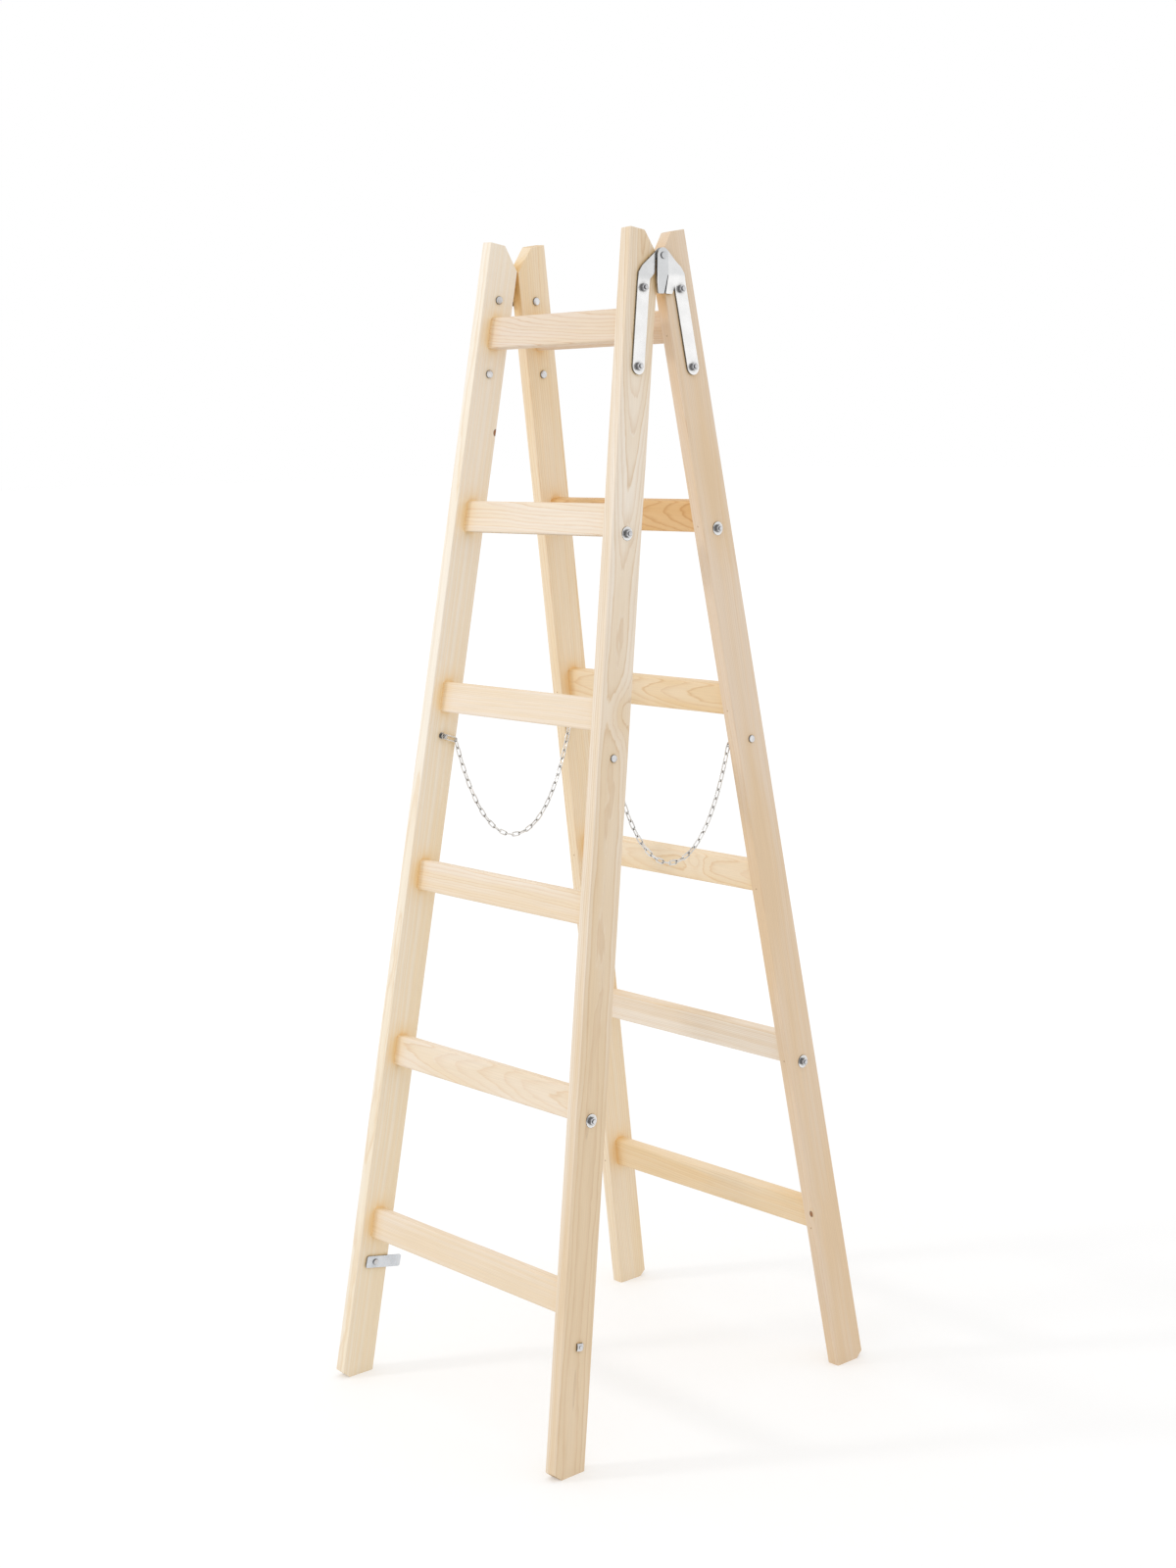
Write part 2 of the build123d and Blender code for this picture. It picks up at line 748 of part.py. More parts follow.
# Chains with their bolts, washers and nuts
chain = left_chain()
save(chain, "chain_left")
save(mirrored(chain, Plane.YZ), "chain_right")
link_space = 2 * wire_radius + 2 * end_link_play
outer_nut_lift = chain_washer_thickness + chain_nut_height + link_space
bolt_length = stile_thickness + outer_nut_lift + chain_nut_height + chain_bolt_end
bolt = domed_bolt(chain_bolt_radius, bolt_length, chain_bolt_head_radius, chain_bolt_head_height)
washer = flat_washer(chain_washer_radius, chain_washer_thickness, chain_bolt_radius + chain_bolt_clearance)
nut = bevelled_nut(6, chain_nut_flats, chain_nut_height, chain_bolt_radius)
for side, ladder in ((FRONT, "front"), (REAR, "rear")):
    inward = [
        Plane(origin=plane.origin, x_dir=plane.x_dir, z_dir=plane.z_dir * -1)
        for plane in chain_bolt_planes(side)
    ]
    inner = [plane.offset(stile_thickness) for plane in inward]
    nut_planes = [plane.offset(lift) for plane in inner for lift in (chain_washer_thickness, outer_nut_lift)]
    save(group(bolt, inward), f"{ladder}_chain_bolts")
    save(group(washer, inner), f"{ladder}_chain_washers")
    save(group(nut, nut_planes), f"{ladder}_chain_nuts")

# Latches with their bolts, washers and nuts
save(right_latch(right_latch_droop), "latch_right")
save(mirrored(right_latch(left_latch_droop), Plane.YZ), "latch_left")
head_lift = stile_thickness + latch_washer_thickness + latch_thickness + 2 * latch_play
bolt_length = head_lift + latch_nut_height + latch_bolt_end
bolt = domed_bolt(latch_bolt_radius, bolt_length, latch_bolt_head_radius, latch_bolt_head_height)
washer = flat_washer(latch_washer_radius, latch_washer_thickness, latch_bolt_radius + latch_bolt_clearance)
nut = bevelled_nut(4, latch_nut_width, latch_nut_height, latch_bolt_radius)
planes = [latch_bolt_plane(hand) for hand in (LEFT, RIGHT)]
washer_lift = stile_thickness + latch_washer_thickness
save(group(bolt, [plane.offset(-head_lift) for plane in planes]), "latch_bolts")
save(group(washer, [plane.offset(-washer_lift) for plane in planes]), "latch_washers")
save(group(nut, planes), "latch_nuts")
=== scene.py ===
"""Looks of a double-sided wooden ladder: bare pine boards, zinc-plated hinges and fasteners, slack chains.

Metres, +Z up, origin on the floor under the middle of the ladder. X runs along the rungs, the front
ladder stands at -Y and the rear ladder at +Y.
"""

import logging
import math
from dataclasses import dataclass
from enum import Enum

import bmesh
import bpy
from mathutils import Matrix, Vector


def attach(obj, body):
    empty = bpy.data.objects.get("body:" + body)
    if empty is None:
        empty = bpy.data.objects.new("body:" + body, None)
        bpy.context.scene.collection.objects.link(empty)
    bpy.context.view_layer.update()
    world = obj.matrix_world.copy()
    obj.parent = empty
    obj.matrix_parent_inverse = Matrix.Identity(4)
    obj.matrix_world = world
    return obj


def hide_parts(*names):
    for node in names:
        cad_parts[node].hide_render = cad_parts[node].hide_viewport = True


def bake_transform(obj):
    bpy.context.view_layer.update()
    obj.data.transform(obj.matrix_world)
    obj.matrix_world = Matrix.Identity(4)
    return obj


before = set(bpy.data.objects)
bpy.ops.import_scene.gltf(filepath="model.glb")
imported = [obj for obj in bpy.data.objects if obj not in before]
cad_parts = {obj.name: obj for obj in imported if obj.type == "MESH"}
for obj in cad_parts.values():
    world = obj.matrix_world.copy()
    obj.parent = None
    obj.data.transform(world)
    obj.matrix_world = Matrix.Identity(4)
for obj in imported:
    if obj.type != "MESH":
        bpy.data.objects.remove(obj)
log = logging.getLogger("ladder")

Triple = tuple[float, float, float]
Range = tuple[float, float]
Colour = Triple
Socket = bpy.types.NodeSocket
Sockets = bpy.types.NodeOutputs
Results = dict[str, Socket]
NOISE_MIDDLE = 0.5
WHITE = (1.0, 1.0, 1.0, 1.0)


class Side(Enum):
    """The two ladders, by the sign of their way out from the hinge."""

    FRONT = 1
    REAR = -1

    @property
    def word(self) -> str:
        """The ladder's name as the pieces use it."""
        return self.name.lower()

    @property
    def body(self) -> str:
        """The body that the ladder's pieces ride on."""
        return f"{self.word}_ladder"


class Hand(Enum):
    """The left and right ends of the rungs, by the sign of X."""

    LEFT = -1
    RIGHT = 1

    @property
    def word(self) -> str:
        """The hand's name as the pieces use it."""
        return self.name.lower()


class Graph:
    """Places and links the nodes of one shader tree or node group."""

    def __init__(self, tree: bpy.types.NodeTree) -> None:
        """Takes the tree to work in.

        Args:
            tree: A material's tree or a node group.
        """
        self.tree = tree

    def node(self, kind: str, **settings: object) -> bpy.types.Node:
        """Adds a node.

        Args:
            kind: The node's type name.
            settings: Attributes to set on it.

        Returns:
            The new node.
        """
        made = self.tree.nodes.new(kind)
        for key, value in settings.items():
            setattr(made, key, value)
        return made

    def feed(self, target: Socket, value: object) -> None:
        """Links a socket to an input, or sets the input to a plain value.

        Args:
            target: The input.
            value: A socket, a number, a vector or a colour.
        """
        if isinstance(value, Socket):
            self.tree.links.new(value, target)
        elif target.type == "RGBA" and len(value) == 3:
            target.default_value = (*value, 1.0)
        else:
            target.default_value = value

    def math(self, operation: str, *values: object, clamp: bool = False) -> Socket:
        """Adds a Math node.

        Args:
            operation: Blender's name of the operation.
            values: Its inputs, sockets or numbers.
            clamp: Whether the result is held between 0 and 1.

        Returns:
            The result.
        """
        made = self.node("ShaderNodeMath", operation=operation, use_clamp=clamp)
        for target, value in zip(made.inputs, values):
            self.feed(target, value)
        return made.outputs[0]

    def vector(self, operation: str, *values: object) -> Socket:
        """Adds a Vector Math node.

        Args:
            operation: Blender's name of the operation.
            values: Its inputs, sockets, vectors, or the number that SCALE takes.

        Returns:
            The vector, or the number for operations that give one.
        """
        made = self.node("ShaderNodeVectorMath", operation=operation)
        targets = [made.inputs[0], made.inputs["Scale"]] if operation == "SCALE" else made.inputs
        for target, value in zip(targets, values):
            self.feed(target, value)
        return made.outputs["Value" if operation in ("DOT_PRODUCT", "LENGTH") else "Vector"]

    def split(self, vector: Socket) -> list[Socket]:
        """The three components of a vector.

        Args:
            vector: The vector.

        Returns:
            Its x, y and z.
        """
        made = self.node("ShaderNodeSeparateXYZ")
        self.feed(made.inputs[0], vector)
        return list(made.outputs)

    def join(self, x: object, y: object, z: object) -> Socket:
        """A vector from three numbers.

        Args:
            x: Its first component, a socket or a number.
            y: Its second.
            z: Its third.

        Returns:
            The vector.
        """
        made = self.node("ShaderNodeCombineXYZ")
        for target, value in zip(made.inputs, (x, y, z)):
            self.feed(target, value)
        return made.outputs[0]

    def noise(
        self, vector: object, scale: object = 1.0, detail: float = 2.0, roughness: float = 0.5
    ) -> Socket:
        """Smooth random values.

        Args:
            vector: Where to read them.
            scale: How many lumps fit in a unit.
            detail: How many finer layers are added.
            roughness: How strong those layers are.

        Returns:
            Values around 0.5.
        """
        made = self.node("ShaderNodeTexNoise")
        values = {"Vector": vector, "Scale": scale, "Detail": detail, "Roughness": roughness}
        for name, value in values.items():
            self.feed(made.inputs[name], value)
        return made.outputs["Fac"]

    def span(
        self, value: object, low: object, high: object, to_low: object = 0.0, to_high: object = 1.0,
        smooth: bool = True,
    ) -> Socket:
        """Maps a value from one range to another, held at both ends.

        Args:
            value: The value.
            low: Where the first range starts.
            high: Where it ends.
            to_low: What it starts at in the second range.
            to_high: What it ends at.
            smooth: Whether the way between is eased.

        Returns:
            The mapped value.
        """
        made = self.node("ShaderNodeMapRange", interpolation_type="SMOOTHSTEP" if smooth else "LINEAR")
        for target, number in zip(made.inputs, (value, low, high, to_low, to_high)):
            self.feed(target, number)
        return made.outputs[0]

    def mix(self, share: object, first: object, second: object, blend: str = "MIX") -> Socket:
        """Mixes two colours.

        Args:
            share: How much of the second, 0 to 1.
            first: A colour or socket.
            second: A colour or socket.
            blend: Blender's name of the way they mix.

        Returns:
            The mixed colour.
        """
        made = self.node("ShaderNodeMix", data_type="RGBA", blend_type=blend)
        self.feed(made.inputs["Factor"], share)
        self.feed(made.inputs[6], first)
        self.feed(made.inputs[7], second)
        return made.outputs[2]

    def place(self, group: bpy.types.NodeTree, **values: object) -> bpy.types.Node:
        """Places a node group and feeds its inputs.

        Args:
            group: The node group.
            values: Its inputs by name, with _ for a space.

        Returns:
            The group's node.
        """
        made = self.node("ShaderNodeGroup", node_tree=group)
        for key, value in values.items():
            self.feed(made.inputs[key.replace("_", " ")], value)
        return made


class Effect:
    """A node group that several finishes share, made once."""

    name = ""
    takes: tuple[tuple[str, str], ...] = ()
    gives: tuple[tuple[str, str], ...] = ()

    def group(self) -> bpy.types.NodeTree:
        """The node group.

        Returns:
            The group, built on the first call.
        """
        found = bpy.data.node_groups.get(self.name)
        if found:
            return found
        tree = bpy.data.node_groups.new(self.name, "ShaderNodeTree")
        for label, kind in self.takes:
            tree.interface.new_socket(label, in_out="INPUT", socket_type=f"NodeSocket{kind}")
        for label, kind in self.gives:
            tree.interface.new_socket(label, in_out="OUTPUT", socket_type=f"NodeSocket{kind}")
        graph = Graph(tree)
        inputs = graph.node("NodeGroupInput").outputs
        results = self.build(graph, inputs)
        outputs = graph.node("NodeGroupOutput").inputs
        for label, socket in results.items():
            graph.feed(outputs[label], socket)
        return tree

    def build(self, graph: Graph, inputs: Sockets) -> Results:
        """Makes the group's nodes.

        Args:
            graph: The group's graph.
            inputs: The group's inputs.

        Returns:
            The group's outputs by name.
        """
        raise NotImplementedError


class GrowthRings(Effect):
    """Growth rings of a board cut beside the pith: pale early wood that turns into a thin darker line."""

    name = "growth_rings"
    takes = (
        ("Place", "Vector"), ("Ring", "Float"), ("Pith Across", "Float"), ("Pith Depth", "Float"),
        ("Pith Slope", "Float"), ("Pith Run", "Float"), ("Wander", "Float"), ("Seed", "Float"),
        ("Push", "Float"),
    )
    gives = (("Late", "Float"), ("Year", "Float"), ("Fibre", "Float"), ("Pore", "Float"), ("Patch", "Float"))
    drift_waves = 1.7
    sway_waves = 2.3
    sway_offset = 7.3
    run_easing = 0.1
    ripple_years = 2.0
    late_start = (0.25, 0.7)
    late_end = 0.88
    late_curve = 1.8
    faintest_year = 0.45
    pore_range = (0.7, 0.78)
    ripple_scale = (7.0, 40.0)
    fibre_scale = (14.0, 900.0)
    pore_scale = (90.0, 1500.0)
    patch_scale = (2.4, 12.0)

    def build(self, graph: Graph, inputs: Sockets) -> Results:
        """Makes the rings from the distance to a leaning, wandering pith.

        Args:
            graph: The group's graph.
            inputs: The board's place, ring width, pith and seed.

        Returns:
            The late wood mask, a value for each year, the fibre, the resin flecks and broad patches of tone.
        """
        years = self.years(graph, inputs)
        phase = graph.math("FRACT", years)
        year_noise = graph.node("ShaderNodeTexWhiteNoise", noise_dimensions="2D")
        graph.feed(year_noise.inputs["Vector"], graph.join(graph.math("FLOOR", years), inputs["Seed"], 0.0))
        year = year_noise.outputs["Value"]
        start = graph.span(year, 0.0, 1.0, *self.late_start, smooth=False)
        run = graph.math("SUBTRACT", self.late_end, start)
        rise = graph.math("DIVIDE", graph.math("SUBTRACT", phase, start), run, clamp=True)
        fall = graph.span(phase, self.late_end, 1.0, 1.0, 0.0)
        line = graph.math("MULTIPLY", graph.math("POWER", rise, self.late_curve), fall)
        late = graph.math("MULTIPLY", line, graph.span(year, 0.0, 1.0, self.faintest_year, 1.0, smooth=False))
        fibre = graph.noise(self.stretched(graph, inputs, *self.fibre_scale), detail=3.0, roughness=0.6)
        pore = graph.noise(self.stretched(graph, inputs, *self.pore_scale), detail=1.0)
        patch = graph.noise(self.stretched(graph, inputs, *self.patch_scale))
        pore = graph.span(pore, *self.pore_range)
        return {"Late": late, "Year": year, "Fibre": fibre, "Pore": pore, "Patch": patch}

    def years(self, graph: Graph, inputs: Sockets) -> Socket:
        """The age of the wood at a place.

        Args:
            graph: The group's graph.
            inputs: The group's inputs.

        Returns:
            The age in years, counted from the pith.
        """
        along, across, through = graph.split(inputs["Place"])
        drift = self.wave(graph, along, inputs["Seed"], self.drift_waves, 0.0)
        sway = self.wave(graph, along, inputs["Seed"], self.sway_waves, self.sway_offset)
        leaning = graph.math("SMOOTH_MIN", along, inputs["Pith Run"], self.run_easing)
        lean = graph.math("MULTIPLY", leaning, inputs["Pith Slope"])
        depth = graph.math("ADD", inputs["Pith Depth"], lean)
        pith_y = graph.math("MULTIPLY_ADD", sway, inputs["Wander"], inputs["Pith Across"])
        pith_z = graph.math("MULTIPLY_ADD", drift, inputs["Wander"], depth)
        off_y = graph.math("SUBTRACT", across, pith_y)
        off_z = graph.math("SUBTRACT", through, pith_z)
        reach = graph.vector("LENGTH", graph.join(off_y, off_z, 0.0))
        ripple = graph.noise(self.stretched(graph, inputs, *self.ripple_scale), detail=4.0, roughness=0.55)
        uneven = graph.math("SUBTRACT", ripple, NOISE_MIDDLE)
        shift = graph.math("MULTIPLY_ADD", uneven, self.ripple_years, inputs["Push"])
        return graph.math("ADD", graph.math("DIVIDE", reach, inputs["Ring"]), shift)

    def wave(self, graph: Graph, along: Socket, seed: Socket, rate: float, offset: float) -> Socket:
        """A slow wave along the board.

        Args:
            graph: The group's graph.
            along: The way along the board.
            seed: The board's seed.
            rate: How many waves to a metre.
            offset: What sets this wave apart from the others.

        Returns:
            A value around 0.
        """
        place = graph.join(graph.math("MULTIPLY", along, rate), seed, offset)
        return graph.math("SUBTRACT", graph.noise(place, detail=1.5), NOISE_MIDDLE)

    def stretched(self, graph: Graph, inputs: Sockets, along: float, across: float) -> Socket:
        """The board's place, scaled for a pattern that is long in the grain.

        Args:
            graph: The group's graph.
            inputs: The group's inputs.
            along: The scale along the grain.
            across: The scale across it.

        Returns:
            The scaled place, moved by the seed.
        """
        scaled = graph.vector("MULTIPLY", inputs["Place"], (along, across, across))
        return graph.vector("ADD", scaled, graph.join(inputs["Seed"], inputs["Seed"], inputs["Seed"]))


class KnotSpot(Effect):
    """A knot: a brown branch end with its own rings, that pushes the growth rings aside."""

    name = "knot_spot"
    takes = (
        ("Place", "Vector"), ("Centre", "Vector"), ("Reach", "Vector"), ("Radius", "Float"),
        ("Press", "Float"),
    )
    gives = (("Heart", "Float"), ("Rim", "Float"), ("Push", "Float"))
    wobble_scale = 260.0
    wobble_share = 0.5
    heart_edge = (0.85, 1.05)
    rim_inside = (0.65, 0.95)
    rim_outside = (1.0, 1.35)
    push_reach = 2.6

    def build(self, graph: Graph, inputs: Sockets) -> Results:
        """Makes the knot from the distance to its axis.

        Args:
            graph: The group's graph.
            inputs: The board's place, and the knot's centre, weight of each direction, radius and strength.

        Returns:
            The knot's heart and rim masks and its push on the rings.
        """
        offset = graph.vector("SUBTRACT", inputs["Place"], inputs["Centre"])
        offset = graph.vector("MULTIPLY", offset, inputs["Reach"])
        uneven = graph.math("SUBTRACT", graph.noise(offset, self.wobble_scale), NOISE_MIDDLE)
        wobble = graph.math("MULTIPLY", uneven, self.wobble_share)
        far = graph.math("DIVIDE", graph.vector("LENGTH", offset), inputs["Radius"])
        far = graph.math("ADD", far, wobble)
        heart = graph.span(far, *self.heart_edge, 1.0, 0.0)
        inside, outside = graph.span(far, *self.rim_inside), graph.span(far, *self.rim_outside, 1.0, 0.0)
        squared = graph.math("POWER", graph.math("DIVIDE", far, self.push_reach), 2.0)
        fading = graph.math("EXPONENT", graph.math("MULTIPLY", squared, -1.0))
        push = graph.math("MULTIPLY", fading, inputs["Press"])
        return {"Heart": heart, "Rim": graph.math("MULTIPLY", inside, outside), "Push": push}


class WarmWood(Effect):
    """Where a board turns warmer: in some years, in broad patches, and towards its foot and its head."""

    name = "warm_wood"
    takes = (
        ("Place", "Vector"), ("Year", "Float"), ("Patch", "Float"), ("Patches", "Float"), ("Foot", "Float"),
        ("Head", "Float"), ("Far Face", "Float"), ("Edge Delay", "Float"),
    )
    gives = (("Warmth", "Float"),)
    year_warmth = (-0.12, 0.5)
    patch_range = (0.38, 0.75)
    patch_warmth = (-0.15, 0.95)
    foot_range = (0.3, 1.35)
    head_range = (0.0, 0.42)
    face_range = (-0.010, 0.010)
    edge_range = (0.027, 0.0288)

    def build(self, graph: Graph, inputs: Sockets) -> Results:
        """Makes the mask from the growth rings' values and the place in the board.

        Args:
            graph: The group's graph.
            inputs: The place, year and patch, the strength of the patches and of the foot's and the head's
                warmth, what the far face keeps of it, and how much lower it starts on the outer edge.

        Returns:
            0 where the wood is pale and 1 where it is warm.
        """
        bands = graph.span(inputs["Year"], 0.0, 1.0, *self.year_warmth, smooth=False)
        patches = graph.span(inputs["Patch"], *self.patch_range, *self.patch_warmth)
        along, across, through = graph.split(inputs["Place"])
        one_face = graph.span(through, *self.face_range, 1.0, inputs["Far Face"])
        delay = graph.span(across, *self.edge_range, 0.0, inputs["Edge Delay"])
        foot = graph.span(graph.math("SUBTRACT", along, delay), *self.foot_range, 0.0, inputs["Foot"])
        head = graph.span(along, *self.head_range, inputs["Head"], 0.0)
        ends = graph.math("ADD", graph.math("MULTIPLY", foot, one_face), head)
        steady = graph.math("ADD", ends, bands)
        return {"Warmth": graph.math("MULTIPLY_ADD", patches, inputs["Patches"], steady, clamp=True)}


class PlanedSkin(Effect):
    """A planed face: silky fibres, raised late wood and the faint ripple that the planer leaves."""

    name = "planed_skin"
    takes = (("Place", "Vector"), ("Late", "Float"), ("Fibre", "Float"))
    gives = (("Sheen", "Float"), ("Roughness", "Float"), ("Height", "Float"))
    fibre_range = (0.3, 0.7)
    sheen_span = (0.965, 1.025)
    rough_span = (0.62, 0.5)
    ripple_scale = (420.0, 30.0, 30.0)
    late_height = 0.5
    fibre_height = 0.4
    ripple_height = 0.1

    def build(self, graph: Graph, inputs: Sockets) -> Results:
        """Makes the skin from the grain and the place in the board.

        Args:
            graph: The group's graph.
            inputs: The board's place, late wood mask and fibre.

        Returns:
            A tone around 1, a roughness and a height.
        """
        sheen = graph.span(inputs["Fibre"], *self.fibre_range, *self.sheen_span)
        roughness = graph.span(inputs["Fibre"], *self.fibre_range, *self.rough_span)
        ripple = graph.noise(graph.vector("MULTIPLY", inputs["Place"], self.ripple_scale), detail=1.0)
        fibres = graph.math("MULTIPLY", inputs["Fibre"], self.fibre_height)
        grain = graph.math("MULTIPLY_ADD", inputs["Late"], self.late_height, fibres)
        height = graph.math("MULTIPLY_ADD", ripple, self.ripple_height, grain)
        return {"Sheen": sheen, "Roughness": roughness, "Height": height}


class PineColour(Effect):
    """The colour of clear pine: early wood that is warmer in places, late lines, fibres and resin flecks."""

    name = "pine_colour"
    takes = (
        ("Early", "Color"), ("Late", "Color"), ("Warm", "Color"), ("Warmth", "Float"), ("Line", "Float"),
        ("Contrast", "Float"), ("Sheen", "Float"), ("Pore", "Float"),
    )
    gives = (("Colour", "Color"),)
    pore_share = 0.22

    def build(self, graph: Graph, inputs: Sockets) -> Results:
        """Mixes the colours by their masks.

        Args:
            graph: The group's graph.
            inputs: The board's three colours and the masks of its grain.

        Returns:
            The colour.
        """
        colour = graph.mix(inputs["Warmth"], inputs["Early"], inputs["Warm"])
        colour = graph.mix(graph.math("MULTIPLY", inputs["Line"], inputs["Contrast"]), colour, inputs["Late"])
        sheen = graph.join(inputs["Sheen"], inputs["Sheen"], inputs["Sheen"])
        colour = graph.mix(1.0, colour, sheen, blend="MULTIPLY")
        flecks = graph.math("MULTIPLY", inputs["Pore"], self.pore_share)
        return {"Colour": graph.mix(flecks, colour, inputs["Late"])}


class EndGrain(Effect):
    """A mask for the sawn ends of a board."""

    name = "end_grain"
    takes = (("Facing", "Vector"), ("Along", "Vector"))
    gives = (("End", "Float"),)
    square_range = (0.7, 0.9)

    def build(self, graph: Graph, inputs: Sockets) -> Results:
        """Makes the mask from the surface's own direction.

        Args:
            graph: The group's graph.
            inputs: The surface's direction in the piece's own frame, and the grain's.

        Returns:
            1 on an end and 0 on a long face.
        """
        faced = graph.math("ABSOLUTE", graph.vector("DOT_PRODUCT", inputs["Facing"], inputs["Along"]))
        return {"End": graph.span(faced, *self.square_range)}


class PaintedCornerShade(Effect):
    """Painted shade: a deeper tone put into corners and joints where shade falls, but not where the feet meet
    the floor.
    """

    name = "painted_corner_shade"
    takes = (("Place", "Vector"), ("Reach", "Float"), ("Share", "Float"))
    gives = (("Shade", "Float"),)
    samples = 8
    open_range = (0.45, 0.95)
    floor_range = (0.02, 0.08)

    def build(self, graph: Graph, inputs: Sockets) -> Results:
        """Makes the mask from how closed in a place is.

        Args:
            graph: The group's graph.
            inputs: The place, how far to look and how strong the tone is.

        Returns:
            0 in the open and the full share deep in a corner.
        """
        # Painted shade: how closed in a place is, read from ambient occlusion, becomes the darkening mask.
        closed = graph.node("ShaderNodeAmbientOcclusion", samples=self.samples)
        graph.feed(closed.inputs["Distance"], inputs["Reach"])
        corner = graph.span(closed.outputs["AO"], *self.open_range, 1.0, 0.0, smooth=False)
        above_feet = graph.span(graph.split(inputs["Place"])[2], *self.floor_range, 0.0, inputs["Share"])
        return {"Shade": graph.math("MULTIPLY", corner, above_feet)}


class CutEdge(Effect):
    """Masks by a metal piece's faces, where the finish paints dark reflection and shade: the cut edges of
    sheet and flanks of nuts, and plates square to X.
    """

    name = "cut_edge"
    takes = (("Facing", "Vector"),)
    gives = (("Edge", "Float"), ("Square", "Float"))
    edge_range = (0.35, 0.8)
    square_range = (0.9988, 0.9996)

    def build(self, graph: Graph, inputs: Sockets) -> Results:
        """Makes the masks from the surface's own direction.

        Args:
            graph: The group's graph.
            inputs: The surface's direction in the piece's own frame.

        Returns:
            1 on an edge and 0 on a face that looks along X, and 1 on a face that looks straight along X.
        """
        along = graph.math("ABSOLUTE", graph.split(inputs["Facing"])[0])
        edge = graph.span(along, *self.edge_range, 1.0, 0.0)
        return {"Edge": edge, "Square": graph.span(along, *self.square_range)}


class PaintedLobeReflection(Effect):
    """Painted dark reflection on a hinge arm: greyer on the upright plate by the pin, and on the lobe above
    the strap.
    """

    name = "painted_lobe_reflection"
    takes = (
        ("Place", "Vector"), ("Upright", "Float"), ("Upright Share", "Float"), ("Fade Start", "Float"),
        ("Fade End", "Float"), ("Lobe Share", "Float"), ("Lobe Foot", "Float"), ("Lobe Top", "Float"),
    )
    gives = (("Grey", "Float"),)

    def build(self, graph: Graph, inputs: Sockets) -> Results:
        """Makes the mask from the place on the arm.

        Args:
            graph: The group's graph.
            inputs: The place, the mask of upright faces, and the shares and ends of both fades.

        Returns:
            0 where the arm is bright and 1 where it is grey.
        """
        _, y, z = graph.split(inputs["Place"])
        fade = (inputs["Fade Start"], inputs["Fade End"])
        near_pin = graph.span(graph.math("ABSOLUTE", y), *fade, inputs["Upright Share"], 0.0)
        lobe = graph.span(z, inputs["Lobe Foot"], inputs["Lobe Top"], 0.0, inputs["Lobe Share"])
        upright = graph.math("MULTIPLY", inputs["Upright"], near_pin)
        return {"Grey": graph.math("MAXIMUM", upright, lobe)}


class ZincSkin(Effect):
    """Zinc plating: a faint mottle, broad clouds and fine rolling lines."""

    name = "zinc_skin"
    takes = (
        ("Place", "Vector"), ("Mottle", "Float"), ("Lines", "Vector"), ("Smoothest", "Float"),
        ("Roughest", "Float"),
    )
    gives = (("Tone", "Float"), ("Roughness", "Float"), ("Height", "Float"))
    cloud_scale = 45.0
    mottle_tone = 0.35
    cloud_dullness = 0.6
    line_height = 0.7
    tone_range = (0.35, 0.65)
    dull_range = (0.3, 0.7)

    def build(self, graph: Graph, inputs: Sockets) -> Results:
        """Makes the mottle and lines from noise.

        Args:
            graph: The group's graph.
            inputs: The place, the scales of the mottle and the lines, and the ends of the roughness.

        Returns:
            A tone from bright to dull, a roughness and a height.
        """
        mottle = graph.noise(inputs["Place"], inputs["Mottle"], detail=4.0, roughness=0.6)
        lines = graph.noise(graph.vector("MULTIPLY", inputs["Place"], inputs["Lines"]))
        cloud = graph.noise(inputs["Place"], self.cloud_scale, detail=3.0, roughness=0.55)
        tone = self.blend(graph, mottle, cloud, self.mottle_tone)
        dullness = self.blend(graph, cloud, lines, self.cloud_dullness)
        roughness = graph.span(dullness, *self.dull_range, inputs["Smoothest"], inputs["Roughest"])
        height = self.blend(graph, lines, mottle, self.line_height)
        return {"Tone": graph.span(tone, *self.tone_range), "Roughness": roughness, "Height": height}

    def blend(self, graph: Graph, first: Socket, second: Socket, share: float) -> Socket:
        """Blends two values.

        Args:
            graph: The group's graph.
            first: A value.
            second: Another.
            share: How much of the first.

        Returns:
            The blend.
        """
        return graph.math("MULTIPLY_ADD", first, share, graph.math("MULTIPLY", second, 1.0 - share))


